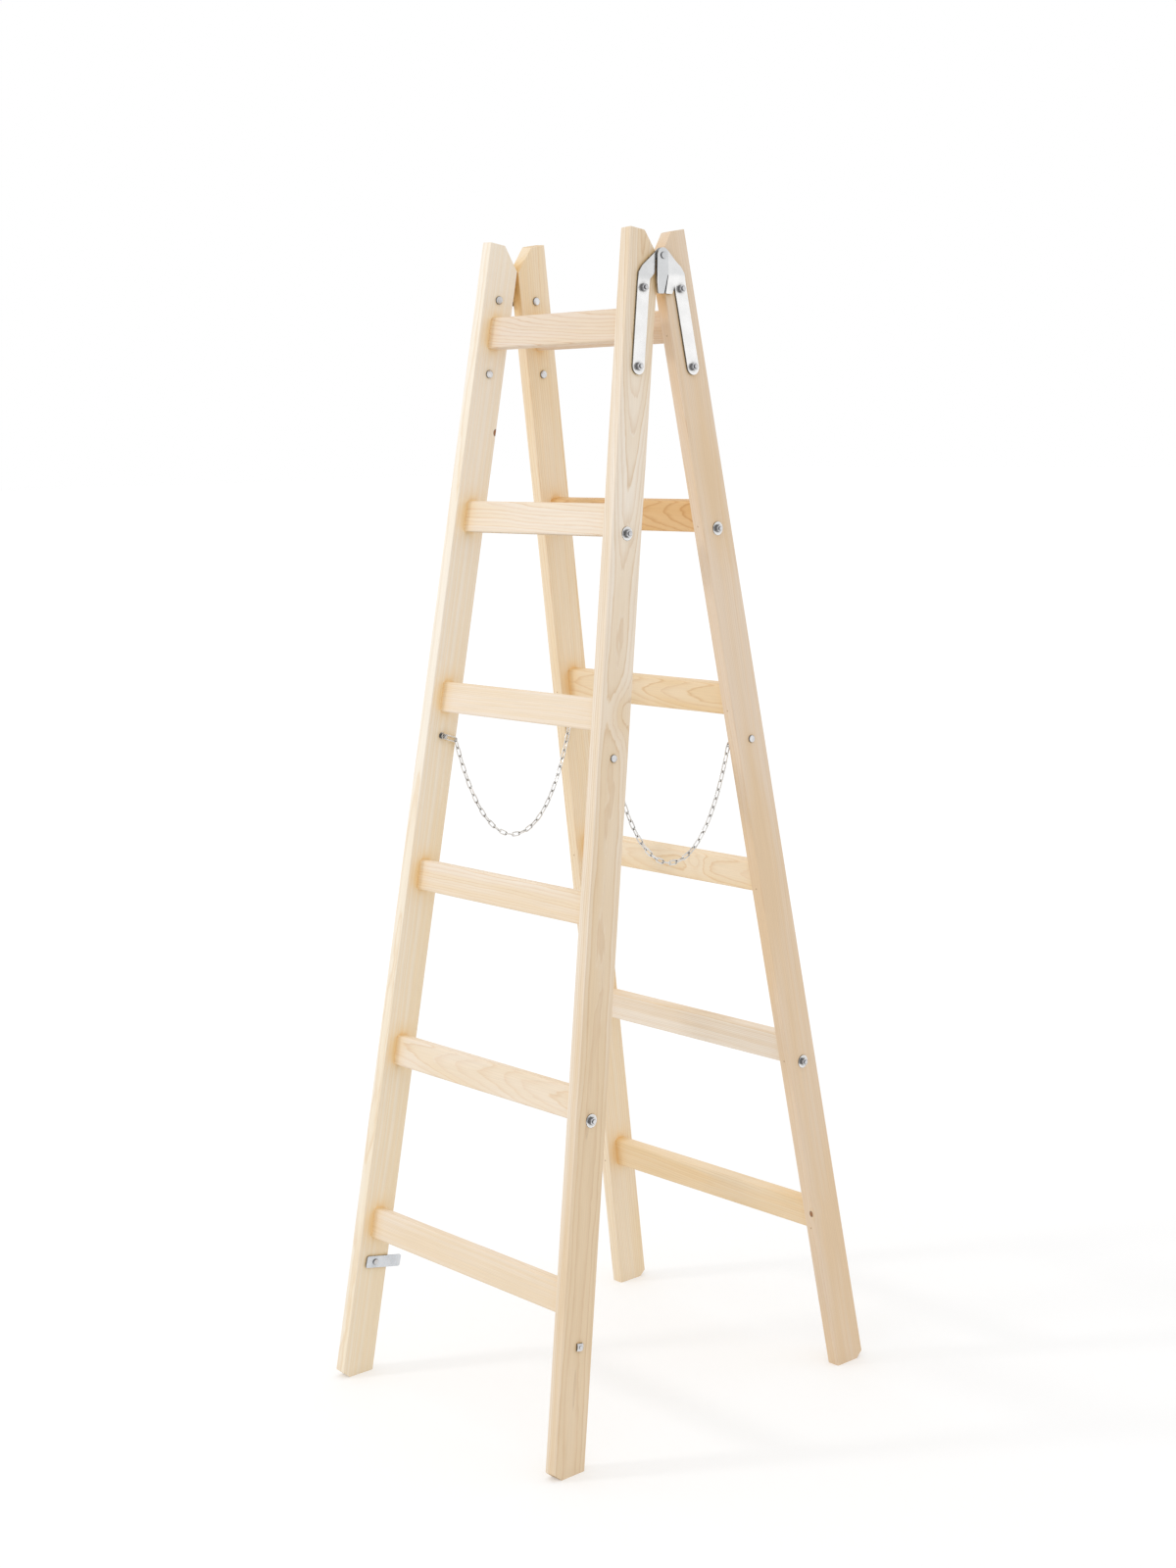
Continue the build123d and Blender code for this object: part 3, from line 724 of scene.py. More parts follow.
@dataclass(frozen=True)
class LadderShape:
    """The ladder's main measures and the places that follow from them."""

    pin_height: float = 1.728
    half_opening: float = math.radians(8.9)
    taper: float = math.radians(3.2)
    width_at_pin: float = 0.335
    stile_thickness: float = 0.021
    stile_centre: float = 0.0295
    top_rung: float = 0.104
    rung_pitch: float = 0.28

    def down(self, side: Side) -> Vector:
        """The way down a ladder, in its own plane."""
        return Vector((0.0, -side.value * math.sin(self.half_opening), -math.cos(self.half_opening)))

    def out(self, side: Side) -> Vector:
        """The way square out of a ladder, away from the other one."""
        return Vector((0.0, -side.value * math.cos(self.half_opening), math.sin(self.half_opening)))

    def point(self, side: Side, below_pin: float, out: float, across: float) -> Vector:
        """A point by its way down a ladder.

        Args:
            side: The ladder.
            below_pin: How far down from the pin axis.
            out: How far out from the pin axis.
            across: X.

        Returns:
            The point.
        """
        return Vector((across, 0.0, self.pin_height)) + self.down(side) * below_pin + self.out(side) * out

    def outer_face(self, below_pin: float) -> float:
        """X of the right outer stile face at a height on the ladder."""
        return self.width_at_pin / 2 + below_pin * math.tan(self.taper)

    def face_normal(self, side: Side, hand: Hand) -> Vector:
        """The outward normal of a stile's outer face.

        Args:
            side: The ladder.
            hand: Left or right.

        Returns:
            The normal.
        """
        lean = math.sin(self.half_opening) * math.sin(self.taper)
        rise = math.cos(self.half_opening) * math.sin(self.taper)
        return Vector((hand.value * math.cos(self.taper), side.value * lean, rise))

    def stile_axes(self, side: Side, hand: Hand) -> Matrix:
        """The grain axes of a stile.

        Args:
            side: The ladder.
            hand: Left or right.

        Returns:
            A frame at the stile's middle line by the pin, with x down the stile, y out and z out of its face.
        """
        normal = self.face_normal(side, hand)
        out = self.out(side)
        along = out.cross(normal)
        if along.z > 0.0:
            along = -along
        middle = self.point(side, 0.0, self.stile_centre, hand.value * self.outer_face(0.0))
        middle = middle - normal * (self.stile_thickness / 2)
        return board_frame(middle, along, out)

    def rung_axes(self, side: Side, number: int) -> Matrix:
        """The grain axes of a rung.

        Args:
            side: The ladder.
            number: The rung, counted from the top.

        Returns:
            A frame at the rung's middle, with x along it, y up the ladder and z out of its face.
        """
        below = self.top_rung + (number - 1) * self.rung_pitch
        middle = self.point(side, below, self.stile_centre, 0.0)
        return board_frame(middle, Vector((1.0, 0.0, 0.0)), -self.down(side))


def board_frame(origin: Vector, along: Vector, across: Vector) -> Matrix:
    """A right-handed frame for a board's grain.

    Args:
        origin: Where it starts.
        along: The grain's direction.
        across: The direction of the board's width.

    Returns:
        The frame, with z through the board.
    """
    through = along.cross(across).normalized()
    rotation = Matrix((along, across, through)).transposed()
    return Matrix.Translation(origin) @ rotation.to_4x4()


def new_material(name: str) -> tuple[bpy.types.Material, Graph, bpy.types.ShaderNode]:
    """Starts a material.

    Args:
        name: The finish's name.

    Returns:
        The material, its graph and its Principled shader.
    """
    made = bpy.data.materials.new(name)
    made.use_nodes = True
    return made, Graph(made.node_tree), made.node_tree.nodes["Principled BSDF"]


def raise_surface(
    graph: Graph, shader: bpy.types.ShaderNode, height: Socket, strength: float, distance: float
) -> None:
    """Gives a shader a fine relief.

    Args:
        graph: The material's graph.
        shader: The material's shader.
        height: The relief, 0 to 1.
        strength: How much of it shows.
        distance: Its full height.
    """
    bump = graph.node("ShaderNodeBump")
    bump.inputs["Strength"].default_value = strength
    bump.inputs["Distance"].default_value = distance
    graph.feed(bump.inputs["Height"], height)
    graph.feed(shader.inputs["Normal"], bump.outputs["Normal"])


@dataclass(frozen=True)
class PineTone:
    """The colours of one kind of pine, with the warm painted shade for its corners and joints."""

    early: Colour
    late: Colour
    warm: Colour
    knot: Colour = (0.36, 0.16, 0.06)
    rim: Colour = (0.15, 0.06, 0.025)
    # The joint colour is painted shade, multiplied in where corners and joints close in.
    joint: Colour = (0.99, 0.83, 0.51)
    end: Colour = (0.86, 0.78, 0.66)


CREAM = PineTone(early=(0.93, 0.81, 0.67), late=(0.74, 0.47, 0.26), warm=(0.90, 0.74, 0.54))
ROSE = PineTone(early=(0.86, 0.73, 0.605), late=(0.68, 0.43, 0.25), warm=(0.84, 0.68, 0.50))
PALE = PineTone(early=(0.975, 0.89, 0.765), late=(0.80, 0.56, 0.33), warm=(0.94, 0.79, 0.57))
PLAIN = PineTone(early=(0.845, 0.69, 0.535), late=(0.68, 0.43, 0.23), warm=(0.82, 0.62, 0.41))
TAN = PineTone(early=(0.95, 0.85, 0.725), late=(0.66, 0.43, 0.23), warm=(0.84, 0.66, 0.45))
BUTTER = PineTone(early=(0.95, 0.80, 0.60), late=(0.76, 0.49, 0.25), warm=(0.92, 0.73, 0.48))
HONEY = PineTone(early=(0.93, 0.76, 0.54), late=(0.70, 0.43, 0.19), warm=(0.88, 0.66, 0.39))
AMBER = PineTone(early=(0.84, 0.58, 0.31), late=(0.58, 0.28, 0.09), warm=(0.75, 0.45, 0.18))


class Cut(Enum):
    """How a board lay in the log: where the pith was, across and behind the board's middle."""

    HEART = (0.002, -0.026)
    FLAT = (0.004, -0.045)
    RIFT = (0.045, -0.045)
    QUARTER = (0.085, -0.012)


@dataclass(frozen=True)
class Knot:
    """A knot or resin streak in a board, or one that lies below the face and only bends the grain."""

    along: float
    across: float
    radius: float
    stretch: float = 1.5
    push: float = 2.4
    depth: float = 1.0
    through: float = 0.0
    pierce: float = 0.0
    on_edge: bool = False

    @property
    def centre(self) -> Triple:
        """Its middle in the board's frame."""
        return (self.along, 0.0, self.across) if self.on_edge else (self.along, self.across, self.through)

    @property
    def reach(self) -> Triple:
        """How much each direction counts in the distance from its axis."""
        drawn = 1.0 / self.stretch
        return (drawn, 0.0, 1.0) if self.on_edge else (drawn, 1.0, self.pierce)


@dataclass(frozen=True)
class Board:
    """How one board was cut and what shows in it."""

    tone: PineTone
    cut: Cut
    seed: float
    ring: float = 0.0028
    slope: float = 0.018
    run: float = 2.0
    wander: float = 0.016
    contrast: float = 0.8
    warming: float = 0.0
    top_warming: float = 0.0
    far_face: float = 1.0
    edge_delay: float = 0.0
    patches: float = 1.0
    knots: tuple[Knot, ...] = ()


@dataclass(frozen=True)
class PineFinish:
    """Bare planed pine, with the grain of one board."""

    name: str
    axes: Matrix
    board: Board
    gloss: float = 0.35
    bump: float = 0.3
    relief: float = 0.0004
    rim_share: float = 0.75
    # How far and how strongly the painted shade reaches into corners and joints.
    joint_painted_shade_reach: float = 0.03
    joint_painted_shade_share: float = 0.9

    def material(self) -> bpy.types.Material:
        """Builds the material.

        Returns:
            The board's own material.
        """
        made, graph, shader = new_material(self.name)
        coordinates = graph.node("ShaderNodeTexCoord").outputs
        place = self.board_place(graph, coordinates["Object"])
        heart, rim, push = self.spots(graph, place)
        late, year, fibre, pore, patch = self.rings(graph, place, push)
        warmth = self.warmth(graph, place, year, patch)
        skin = graph.place(PlanedSkin().group(), Place=place, Late=late, Fibre=fibre)
        sheen, roughness, height = skin.outputs
        tone = self.board.tone
        colour = graph.place(
            PineColour().group(), Early=tone.early, Late=tone.late, Warm=tone.warm, Warmth=warmth, Line=late,
            Contrast=self.board.contrast, Sheen=sheen, Pore=pore,
        ).outputs["Colour"]
        if any(knot.depth for knot in self.board.knots):
            colour = graph.mix(heart, colour, tone.knot)
            colour = graph.mix(graph.math("MULTIPLY", rim, self.rim_share), colour, tone.rim)
        grain = self.axes.col[0].to_3d()
        end = graph.place(EndGrain().group(), Facing=coordinates["Normal"], Along=grain).outputs["End"]
        colour = graph.mix(end, colour, tone.end, blend="MULTIPLY")
        # Painted shade: the joint colour is multiplied in where the board is closed in.
        corner = graph.place(
            PaintedCornerShade().group(), Place=coordinates["Object"], Reach=self.joint_painted_shade_reach, Share=self.joint_painted_shade_share
        ).outputs["Shade"]
        colour = graph.mix(corner, colour, tone.joint, blend="MULTIPLY")
        graph.feed(shader.inputs["Base Color"], colour)
        graph.feed(shader.inputs["Roughness"], roughness)
        shader.inputs["Specular IOR Level"].default_value = self.gloss
        raise_surface(graph, shader, height, self.bump, self.relief)
        return made

    def board_place(self, graph: Graph, place: Socket) -> Socket:
        """The place in the board's own frame.

        Args:
            graph: The material's graph.
            place: The place on the piece.

        Returns:
            The way along, across and through the board.
        """
        mapping = graph.node("ShaderNodeMapping", vector_type="TEXTURE")
        graph.feed(mapping.inputs["Vector"], place)
        graph.feed(mapping.inputs["Location"], self.axes.to_translation())
        graph.feed(mapping.inputs["Rotation"], self.axes.to_euler("XYZ"))
        return mapping.outputs["Vector"]

    def rings(self, graph: Graph, place: Socket, push: object) -> Sockets:
        """The board's growth rings.

        Args:
            graph: The material's graph.
            place: The place in the board.
            push: What knots add to the rings' years.

        Returns:
            The late wood mask, year, fibre, resin flecks and patches.
        """
        board = self.board
        pith_across, pith_depth = board.cut.value
        return graph.place(
            GrowthRings().group(), Place=place, Ring=board.ring, Pith_Across=pith_across,
            Pith_Depth=pith_depth, Pith_Slope=board.slope, Pith_Run=board.run, Wander=board.wander,
            Seed=board.seed, Push=push,
        ).outputs

    def warmth(self, graph: Graph, place: Socket, year: Socket, patch: Socket) -> Socket:
        """The mask of the board's warmer wood.

        Args:
            graph: The material's graph.
            place: The place in the board.
            year: The value of each year.
            patch: The broad patches.

        Returns:
            0 where the wood is pale and 1 where it is warm.
        """
        board = self.board
        return graph.place(
            WarmWood().group(), Place=place, Year=year, Patch=patch, Patches=board.patches,
            Foot=board.warming, Head=board.top_warming, Far_Face=board.far_face, Edge_Delay=board.edge_delay,
        ).outputs["Warmth"]

    def spots(self, graph: Graph, place: Socket) -> tuple[object, object, object]:
        """The board's knots and resin streaks.

        Args:
            graph: The material's graph.
            place: The place in the board.

        Returns:
            The masks of their hearts and rims, and their push on the rings.
        """
        heart, rim, push = 0.0, 0.0, 0.0
        for knot in self.board.knots:
            spot = graph.place(
                KnotSpot().group(), Place=place, Centre=knot.centre, Reach=knot.reach, Radius=knot.radius,
                Press=knot.push,
            ).outputs
            push = graph.math("ADD", push, spot["Push"])
            if knot.depth:
                heart = graph.math("MAXIMUM", heart, graph.math("MULTIPLY", spot["Heart"], knot.depth))
                rim = graph.math("MAXIMUM", rim, graph.math("MULTIPLY", spot["Rim"], knot.depth))
        return heart, rim, push


@dataclass(frozen=True)
class LobeReflectionPaint:
    """How a hinge arm turns grey round its pin and on its lobe, as painted dark reflection."""

    upright_share: float
    lobe_share: float
    pin_fade: Range = (0.004, 0.038)
    lobe_rise: Range = (1.685, 1.700)
    grey: Colour = (0.72, 0.735, 0.75)

    def mask(self, graph: Graph, place: Socket, upright: Socket) -> Socket:
        """Where the arm is grey with painted dark reflection.

        Args:
            graph: The material's graph.
            place: The place on the arm.
            upright: The mask of its upright faces.

        Returns:
            0 where the arm is bright and 1 where it is grey.
        """
        return graph.place(
            PaintedLobeReflection().group(), Place=place, Upright=upright, Upright_Share=self.upright_share,
            Fade_Start=self.pin_fade[0], Fade_End=self.pin_fade[1], Lobe_Share=self.lobe_share,
            Lobe_Foot=self.lobe_rise[0], Lobe_Top=self.lobe_rise[1],
        ).outputs["Grey"]


@dataclass(frozen=True)
class ZincFinish:
    """Zinc-plated steel, bright on its faces, with painted dark reflection and shade on its cut edges and
    painted shade in its corners.
    """

    name: str
    bright: Colour = (0.90, 0.89, 0.87)
    dull: Colour = (0.80, 0.79, 0.775)
    # edge is painted dark reflection and shade on the cut edges and the flanks of nuts.
    edge: Colour = (0.30, 0.30, 0.30)
    painted_edge_share: float = 1.0
    lobe: LobeReflectionPaint | None = None
    polish: float = 0.27
    spread: float = 0.14
    mottle: float = 420.0
    lines: Triple = (900.0, 900.0, 60.0)
    bump: float = 0.5
    relief: float = 0.00005
    # corner is the colour of painted shade, multiplied in where the piece is closed in by its neighbours.
    corner: Colour = (0.45, 0.44, 0.43)
    painted_shade_reach: float = 0.006

    def material(self) -> bpy.types.Material:
        """Builds the material.

        Returns:
            The plated steel.
        """
        made, graph, shader = new_material(self.name)
        coordinates = graph.node("ShaderNodeTexCoord").outputs
        place = coordinates["Object"]
        tone, roughness, height = graph.place(
            ZincSkin().group(), Place=place, Mottle=self.mottle, Lines=self.lines,
            Smoothest=self.polish - self.spread / 2, Roughest=self.polish + self.spread / 2,
        ).outputs
        colour = graph.mix(tone, self.bright, self.dull)
        edge, upright = graph.place(CutEdge().group(), Facing=coordinates["Normal"]).outputs
        # Painted dark reflection: the hinge arms turn grey round the pin and on the lobe.
        if self.lobe:
            grey = self.lobe.mask(graph, place, upright)
            colour = graph.mix(grey, colour, self.lobe.grey, blend="MULTIPLY")
        # Painted dark reflection and shade on the cut edges and flanks.
        colour = graph.mix(graph.math("MULTIPLY", edge, self.painted_edge_share), colour, self.edge)
        # Painted shade where the piece is closed in.
        corner = graph.place(PaintedCornerShade().group(), Place=place, Reach=self.painted_shade_reach, Share=1.0)
        colour = graph.mix(corner.outputs["Shade"], colour, self.corner, blend="MULTIPLY")
        graph.feed(shader.inputs["Base Color"], colour)
        graph.feed(shader.inputs["Roughness"], roughness)
        shader.inputs["Metallic"].default_value = 1.0
        raise_surface(graph, shader, height, self.bump, self.relief)
        return made


LATCH = ZincFinish(
    "zinc_latch", bright=(0.70, 0.73, 0.77), dull=(0.60, 0.63, 0.67), edge=(0.36, 0.37, 0.38)
)
FRONT_HINGE = ZincFinish(
    "zinc_hinge_front", bright=(0.93, 0.925, 0.92), dull=(0.85, 0.845, 0.84),
    lobe=LobeReflectionPaint(upright_share=0.85, lobe_share=0.7),
)
REAR_HINGE = ZincFinish(
    "zinc_hinge_rear", bright=(0.95, 0.945, 0.94), dull=(0.88, 0.875, 0.87),
    lobe=LobeReflectionPaint(
        upright_share=1.0, lobe_share=0.6, pin_fade=(0.0102, 0.0116), lobe_rise=(1.697, 1.705)
    ),
)
# Darker zinc for the hinge pins, also put on the chain nuts as painted shade.
RIVET_AND_SHADED_NUTS = ZincFinish(
    "zinc_rivet_and_painted_shade", bright=(0.62, 0.63, 0.64), dull=(0.44, 0.45, 0.46), edge=(0.22, 0.22, 0.23)
)
WASHER = ZincFinish("zinc_washer", bright=(0.88, 0.88, 0.87), dull=(0.74, 0.74, 0.74), polish=0.22)
FASTENER = ZincFinish(
    "zinc_fastener", bright=(0.76, 0.76, 0.77), dull=(0.54, 0.54, 0.55), edge=(0.33, 0.33, 0.34)
)
# The wire's corner colour paints shade between the links.
WIRE = ZincFinish(
    "zinc_wire", bright=(0.84, 0.83, 0.81), dull=(0.62, 0.61, 0.60), painted_edge_share=0.0, polish=0.24,
    lines=(300.0, 300.0, 300.0), corner=(0.32, 0.31, 0.30), painted_shade_reach=0.004,
)
# The nail's corner colour paints shade round the heads in the wood.
NAIL = ZincFinish(
    "nail_head", bright=(0.66, 0.50, 0.34), dull=(0.50, 0.36, 0.23), painted_edge_share=0.0, polish=0.5,
    corner=(0.75, 0.70, 0.62),
)


def dress(piece: bpy.types.Object, finish: bpy.types.Material) -> None:
    """Gives a piece its finish.

    Args:
        piece: The piece.
        finish: Its material.
    """
    piece.data.materials.clear()
    piece.data.materials.append(finish)
    log.info("%s: %s", piece.name, finish.name)


def dress_nodes(finish: ZincFinish, names: list[str]) -> None:
    """Gives several nodes one finish.

    Args:
        finish: The finish.
        names: The nodes.
    """
    material = bpy.data.materials.get(finish.name) or finish.material()
    for name in names:
        dress(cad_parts[name], material)


@dataclass
class Timber:
    """The stiles, the rungs and the nails that hold them."""

    shape: LadderShape
    stiles: dict[tuple[Side, Hand], Board]
    rungs: dict[Side, tuple[Board, ...]]

    def dress(self) -> None:
        """Gives each board its own pine."""
        for (side, hand), board in self.stiles.items():
            self.dress_board(f"{side.word}_stile_{hand.word}", self.shape.stile_axes(side, hand), board)
        for side, boards in self.rungs.items():
            for number, board in enumerate(boards, start=1):
                self.dress_board(f"{side.word}_rung_{number}", self.shape.rung_axes(side, number), board)
        dress_nodes(NAIL, [f"{side.word}_rung_nails" for side in Side])

    def dress_board(self, name: str, axes: Matrix, board: Board) -> None:
        """Gives one board its pine."""
        dress(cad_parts[name], PineFinish(f"pine_{name}", axes, board).material())


STILES = {
    (Side.FRONT, Hand.LEFT): Board(
        PALE, Cut.QUARTER, seed=1.3, ring=0.0022, slope=0.008, wander=0.008, contrast=0.42, warming=0.65,
        far_face=0.05, edge_delay=0.45, patches=0.5,
        knots=(Knot(0.250, -0.027, 0.0032, through=-0.0105, pierce=0.6),),
    ),
    (Side.FRONT, Hand.RIGHT): Board(
        TAN, Cut.HEART, seed=4.7, ring=0.0036, slope=-0.06, run=0.45, wander=0.012, contrast=0.68,
        warming=0.95, top_warming=0.6, far_face=0.3, edge_delay=0.4, patches=0.4,
        knots=(
            Knot(0.66, -0.010, 0.008, stretch=1.8, push=3.0, depth=0.0),
            Knot(1.25, 0.007, 0.0030, stretch=6.0, push=0.0, depth=0.12),
            Knot(1.63, 0.001, 0.0018, stretch=14.0, push=0.0, depth=0.16),
        ),
    ),
    (Side.REAR, Hand.LEFT): Board(
        BUTTER, Cut.RIFT, seed=7.9, ring=0.0030, slope=0.012, wander=0.014, contrast=0.5,
        knots=(Knot(0.953, -0.004, 0.0042),),
    ),
    (Side.REAR, Hand.RIGHT): Board(
        PLAIN, Cut.RIFT, seed=11.2, ring=0.0024, slope=0.01, wander=0.012, contrast=0.4, warming=0.5,
        knots=(Knot(1.491, 0.005, 0.0030, on_edge=True),),
    ),
}
RUNGS = {
    Side.FRONT: (
        Board(ROSE, Cut.RIFT, seed=21.4, ring=0.0034, slope=0.055, wander=0.03, contrast=0.65),
        Board(CREAM, Cut.RIFT, seed=24.3, ring=0.0036, slope=0.02, contrast=0.6),
        Board(CREAM, Cut.QUARTER, seed=27.2, slope=0.012, contrast=0.4),
        Board(CREAM, Cut.RIFT, seed=30.1, slope=0.008, wander=0.008, contrast=0.55),
        Board(CREAM, Cut.FLAT, seed=33.6, slope=0.04, wander=0.02, contrast=0.4),
        Board(CREAM, Cut.QUARTER, seed=36.5, ring=0.002, slope=0.01, wander=0.008, contrast=0.45),
    ),
    Side.REAR: (
        Board(PLAIN, Cut.RIFT, seed=41.7, slope=0.02, contrast=0.5),
        Board(AMBER, Cut.FLAT, seed=44.8, ring=0.0034, slope=0.05, wander=0.03, contrast=0.75),
        Board(HONEY, Cut.FLAT, seed=47.1, slope=0.05, wander=0.03, contrast=0.55),
        Board(
            BUTTER, Cut.FLAT, seed=50.9, slope=0.04, wander=0.03, contrast=0.6,
            knots=(Knot(0.06, 0.006, 0.006, depth=0.0),),
        ),
        Board(TAN, Cut.QUARTER, seed=53.3, slope=0.015, contrast=0.5),
        Board(HONEY, Cut.RIFT, seed=56.2, slope=0.02, contrast=0.4),
    ),
}


@dataclass
class Hinges:
    """The two bent hinges with their rivets, bolts and nuts."""

    def dress(self) -> None:
        """Gives the hinges their plating."""
        for finish, side in ((FRONT_HINGE, Side.FRONT), (REAR_HINGE, Side.REAR)):
            dress_nodes(finish, [f"{side.word}_hinge_arm_{hand.word}" for hand in Hand])
        dress_nodes(RIVET_AND_SHADED_NUTS, [f"hinge_pin_{hand.word}" for hand in Hand])
        for side in Side:
            dress_nodes(FASTENER, [f"{side.word}_hinge_{kind}" for kind in ("bolts", "nuts")])


@dataclass
class TieRods:
    """The steel rods under four of the rungs, with their washers and nuts."""

    def dress(self) -> None:
        """Gives the rods their plating."""
        for side in Side:
            rods = [f"{side.word}_tie_rod_{height}" for height in ("upper", "lower")]
            dress_nodes(FASTENER, [*rods, f"{side.word}_tie_nuts"])
            dress_nodes(WASHER, [f"{side.word}_tie_washers"])


@dataclass
class Latches:
    """The two flat strips that swing on bolts near the feet of the front ladder."""

    def dress(self) -> None:
        """Gives the latches their plating."""
        dress_nodes(LATCH, [f"latch_{hand.word}" for hand in Hand])
        dress_nodes(FASTENER, ["latch_bolts", "latch_nuts"])
        dress_nodes(WASHER, ["latch_washers"])


@dataclass
class Chains:
    """The two slack chains between the ladders: long end links on bolts and a hanging run of short links."""

    shape: LadderShape
    below_pin: float = 0.724
    bolt_radius: float = 0.002
    stand_off: float = 0.0055
    wire_radius: float = 0.001
    link_pitch: float = 0.0139
    link_width: float = 0.008
    link_play: float = 0.0004
    link_count: int = 31
    end_reach: float = 0.0244
    end_droop: float = math.radians(19.0)
    end_play: float = 0.0003
    run_links: int = 4
    wire_sides: int = 12
    bend_steps: int = 10
    side_steps: int = 8
    weld_swell: float = 0.16
    weld_half: float = 0.0012
    scale_search: float = 10.0
    scale_halvings: int = 60

    def build(self) -> None:
        """Makes both chains and dresses them and their fasteners."""
        wire = WIRE.material()
        for hand in Hand:
            self.build_end_links(hand, wire)
            self.build_runs(hand, wire)
        dress_nodes(FASTENER, [f"{side.word}_chain_bolts" for side in Side])
        # The chain nuts take the darker rivet zinc as painted shade.
        dress_nodes(RIVET_AND_SHADED_NUTS, [f"{side.word}_chain_nuts" for side in Side])
        dress_nodes(WASHER, [f"{side.word}_chain_washers" for side in Side])

    @property
    def bolt_hold(self) -> float:
        """From the bolt's middle to the inside of an end link's bend."""
        return self.bolt_radius + self.end_play

    @property
    def end_length(self) -> float:
        """The inner length of an end link."""
        return self.end_reach + self.bolt_hold + self.wire_radius + self.link_play / 2

    def hold(self, side: Side, hand: Hand) -> Vector:
        """The point on a chain bolt that an end link hangs from.

        Args:
            side: The ladder.
            hand: Left or right.

        Returns:
            The point.
        """
        on_face = self.shape.point(
            side, self.below_pin, self.shape.stile_centre, hand.value * self.shape.outer_face(self.below_pin)
        )
        return on_face - self.shape.face_normal(side, hand) * (self.shape.stile_thickness + self.stand_off)

    def catenary(self, half_span: float, half_length: float) -> float:
        """The scale of the curve in which a chain of a length hangs over a span.

        Args:
            half_span: Half the distance between its ends.
            half_length: Half its length.

        Returns:
            The scale.
        """
        narrow, wide = half_span / self.scale_search, half_span * self.scale_search
        for _ in range(self.scale_halvings):
            scale = (narrow + wide) / 2
            if scale * math.sinh(half_span / scale) > half_length:
                narrow = scale
            else:
                wide = scale
        return (narrow + wide) / 2

    def link_path(self, inner_length: float, inner_width: float) -> list[tuple[Vector, Vector, float]]:
        """The middle line of a link's wire, long along X.

        Args:
            inner_length: The length of the link's opening.
            inner_width: Its width.

        Returns:
            For each step round the link, the point, the way out from the opening and the wire's radius.
        """
        half = (inner_length - inner_width) / 2
        bend = inner_width / 2 + self.wire_radius
        path = []
        for turn in (0.0, math.pi):
            for step in range(self.side_steps):
                x = half - 2 * half * step / self.side_steps
                weld = math.exp(-((x / self.weld_half) ** 2)) * self.weld_swell if turn == 0.0 else 0.0
                place = Vector((x, bend, 0.0))
                path.append((place, Vector((0.0, 1.0, 0.0)), weld, turn))
            for step in range(self.bend_steps):
                angle = math.pi / 2 + math.pi * step / self.bend_steps
                out = Vector((math.cos(angle), math.sin(angle), 0.0))
                path.append((Vector((-half, 0.0, 0.0)) + out * bend, out, 0.0, turn))
        flip = Matrix.Rotation(math.pi, 3, "Z")
        return [
            (flip @ place if turn else place, flip @ out if turn else out, self.wire_radius * (1.0 + weld))
            for place, out, weld, turn in path
        ]

    def add_link(self, mesh: bmesh.types.BMesh, placing: Matrix, inner_length: float,
                 inner_width: float) -> None:
        """Adds one closed wire link to a mesh.

        Args:
            mesh: The mesh.
            placing: Where the link goes, with x along it and z square to its opening.
            inner_length: The length of the link's opening.
            inner_width: Its width.
        """
        normal = Vector((0.0, 0.0, 1.0))
        hoops = []
        for place, out, radius in self.link_path(inner_length, inner_width):
            hoop = []
            for step in range(self.wire_sides):
                angle = 2 * math.pi * step / self.wire_sides
                offset = out * (math.cos(angle) * radius) + normal * (math.sin(angle) * radius)
                hoop.append(mesh.verts.new(placing @ (place + offset)))
            hoops.append(hoop)
        for first, second in zip(hoops, hoops[1:] + hoops[:1]):
            for step in range(self.wire_sides):
                after = (step + 1) % self.wire_sides
                face = mesh.faces.new((first[step], second[step], second[after], first[after]))
                face.smooth = True

    def make_piece(self, name: str, hand: Hand, mesh: bmesh.types.BMesh,
                   wire: bpy.types.Material) -> bpy.types.Object:
        """Makes an object of links that stands for its chain.

        Args:
            name: The piece's name.
            hand: Left or right.
            mesh: Its links.
            wire: Their finish.

        Returns:
            The object.
        """
        bmesh.ops.recalc_face_normals(mesh, faces=mesh.faces[:])
        data = bpy.data.meshes.new(name)
        mesh.to_mesh(data)
        mesh.free()
        piece = bpy.data.objects.new(name, data)
        bpy.context.scene.collection.objects.link(piece)
        dress(piece, wire)
        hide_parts(f"chain_{hand.word}")
        return piece

    def build_end_links(self, hand: Hand, wire: bpy.types.Material) -> None:
        """Makes the two long links on the bolts, each fast to its own ladder.

        Args:
            hand: Left or right.
            wire: The wire's finish.
        """
        across = Vector((1.0, 0.0, 0.0))
        for side in Side:
            inward = Vector((0.0, side.value * math.cos(self.end_droop), -math.sin(self.end_droop)))
            middle = self.hold(side, hand) + inward * (self.end_length / 2 - self.bolt_hold)
            mesh = bmesh.new()
            placing = board_frame(middle, inward, across.cross(inward))
            self.add_link(mesh, placing, self.end_length, 2 * self.bolt_hold)
            piece = self.make_piece(f"chain_end_{side.word}_{hand.word}", hand, mesh, wire)
            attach(piece, side.body)

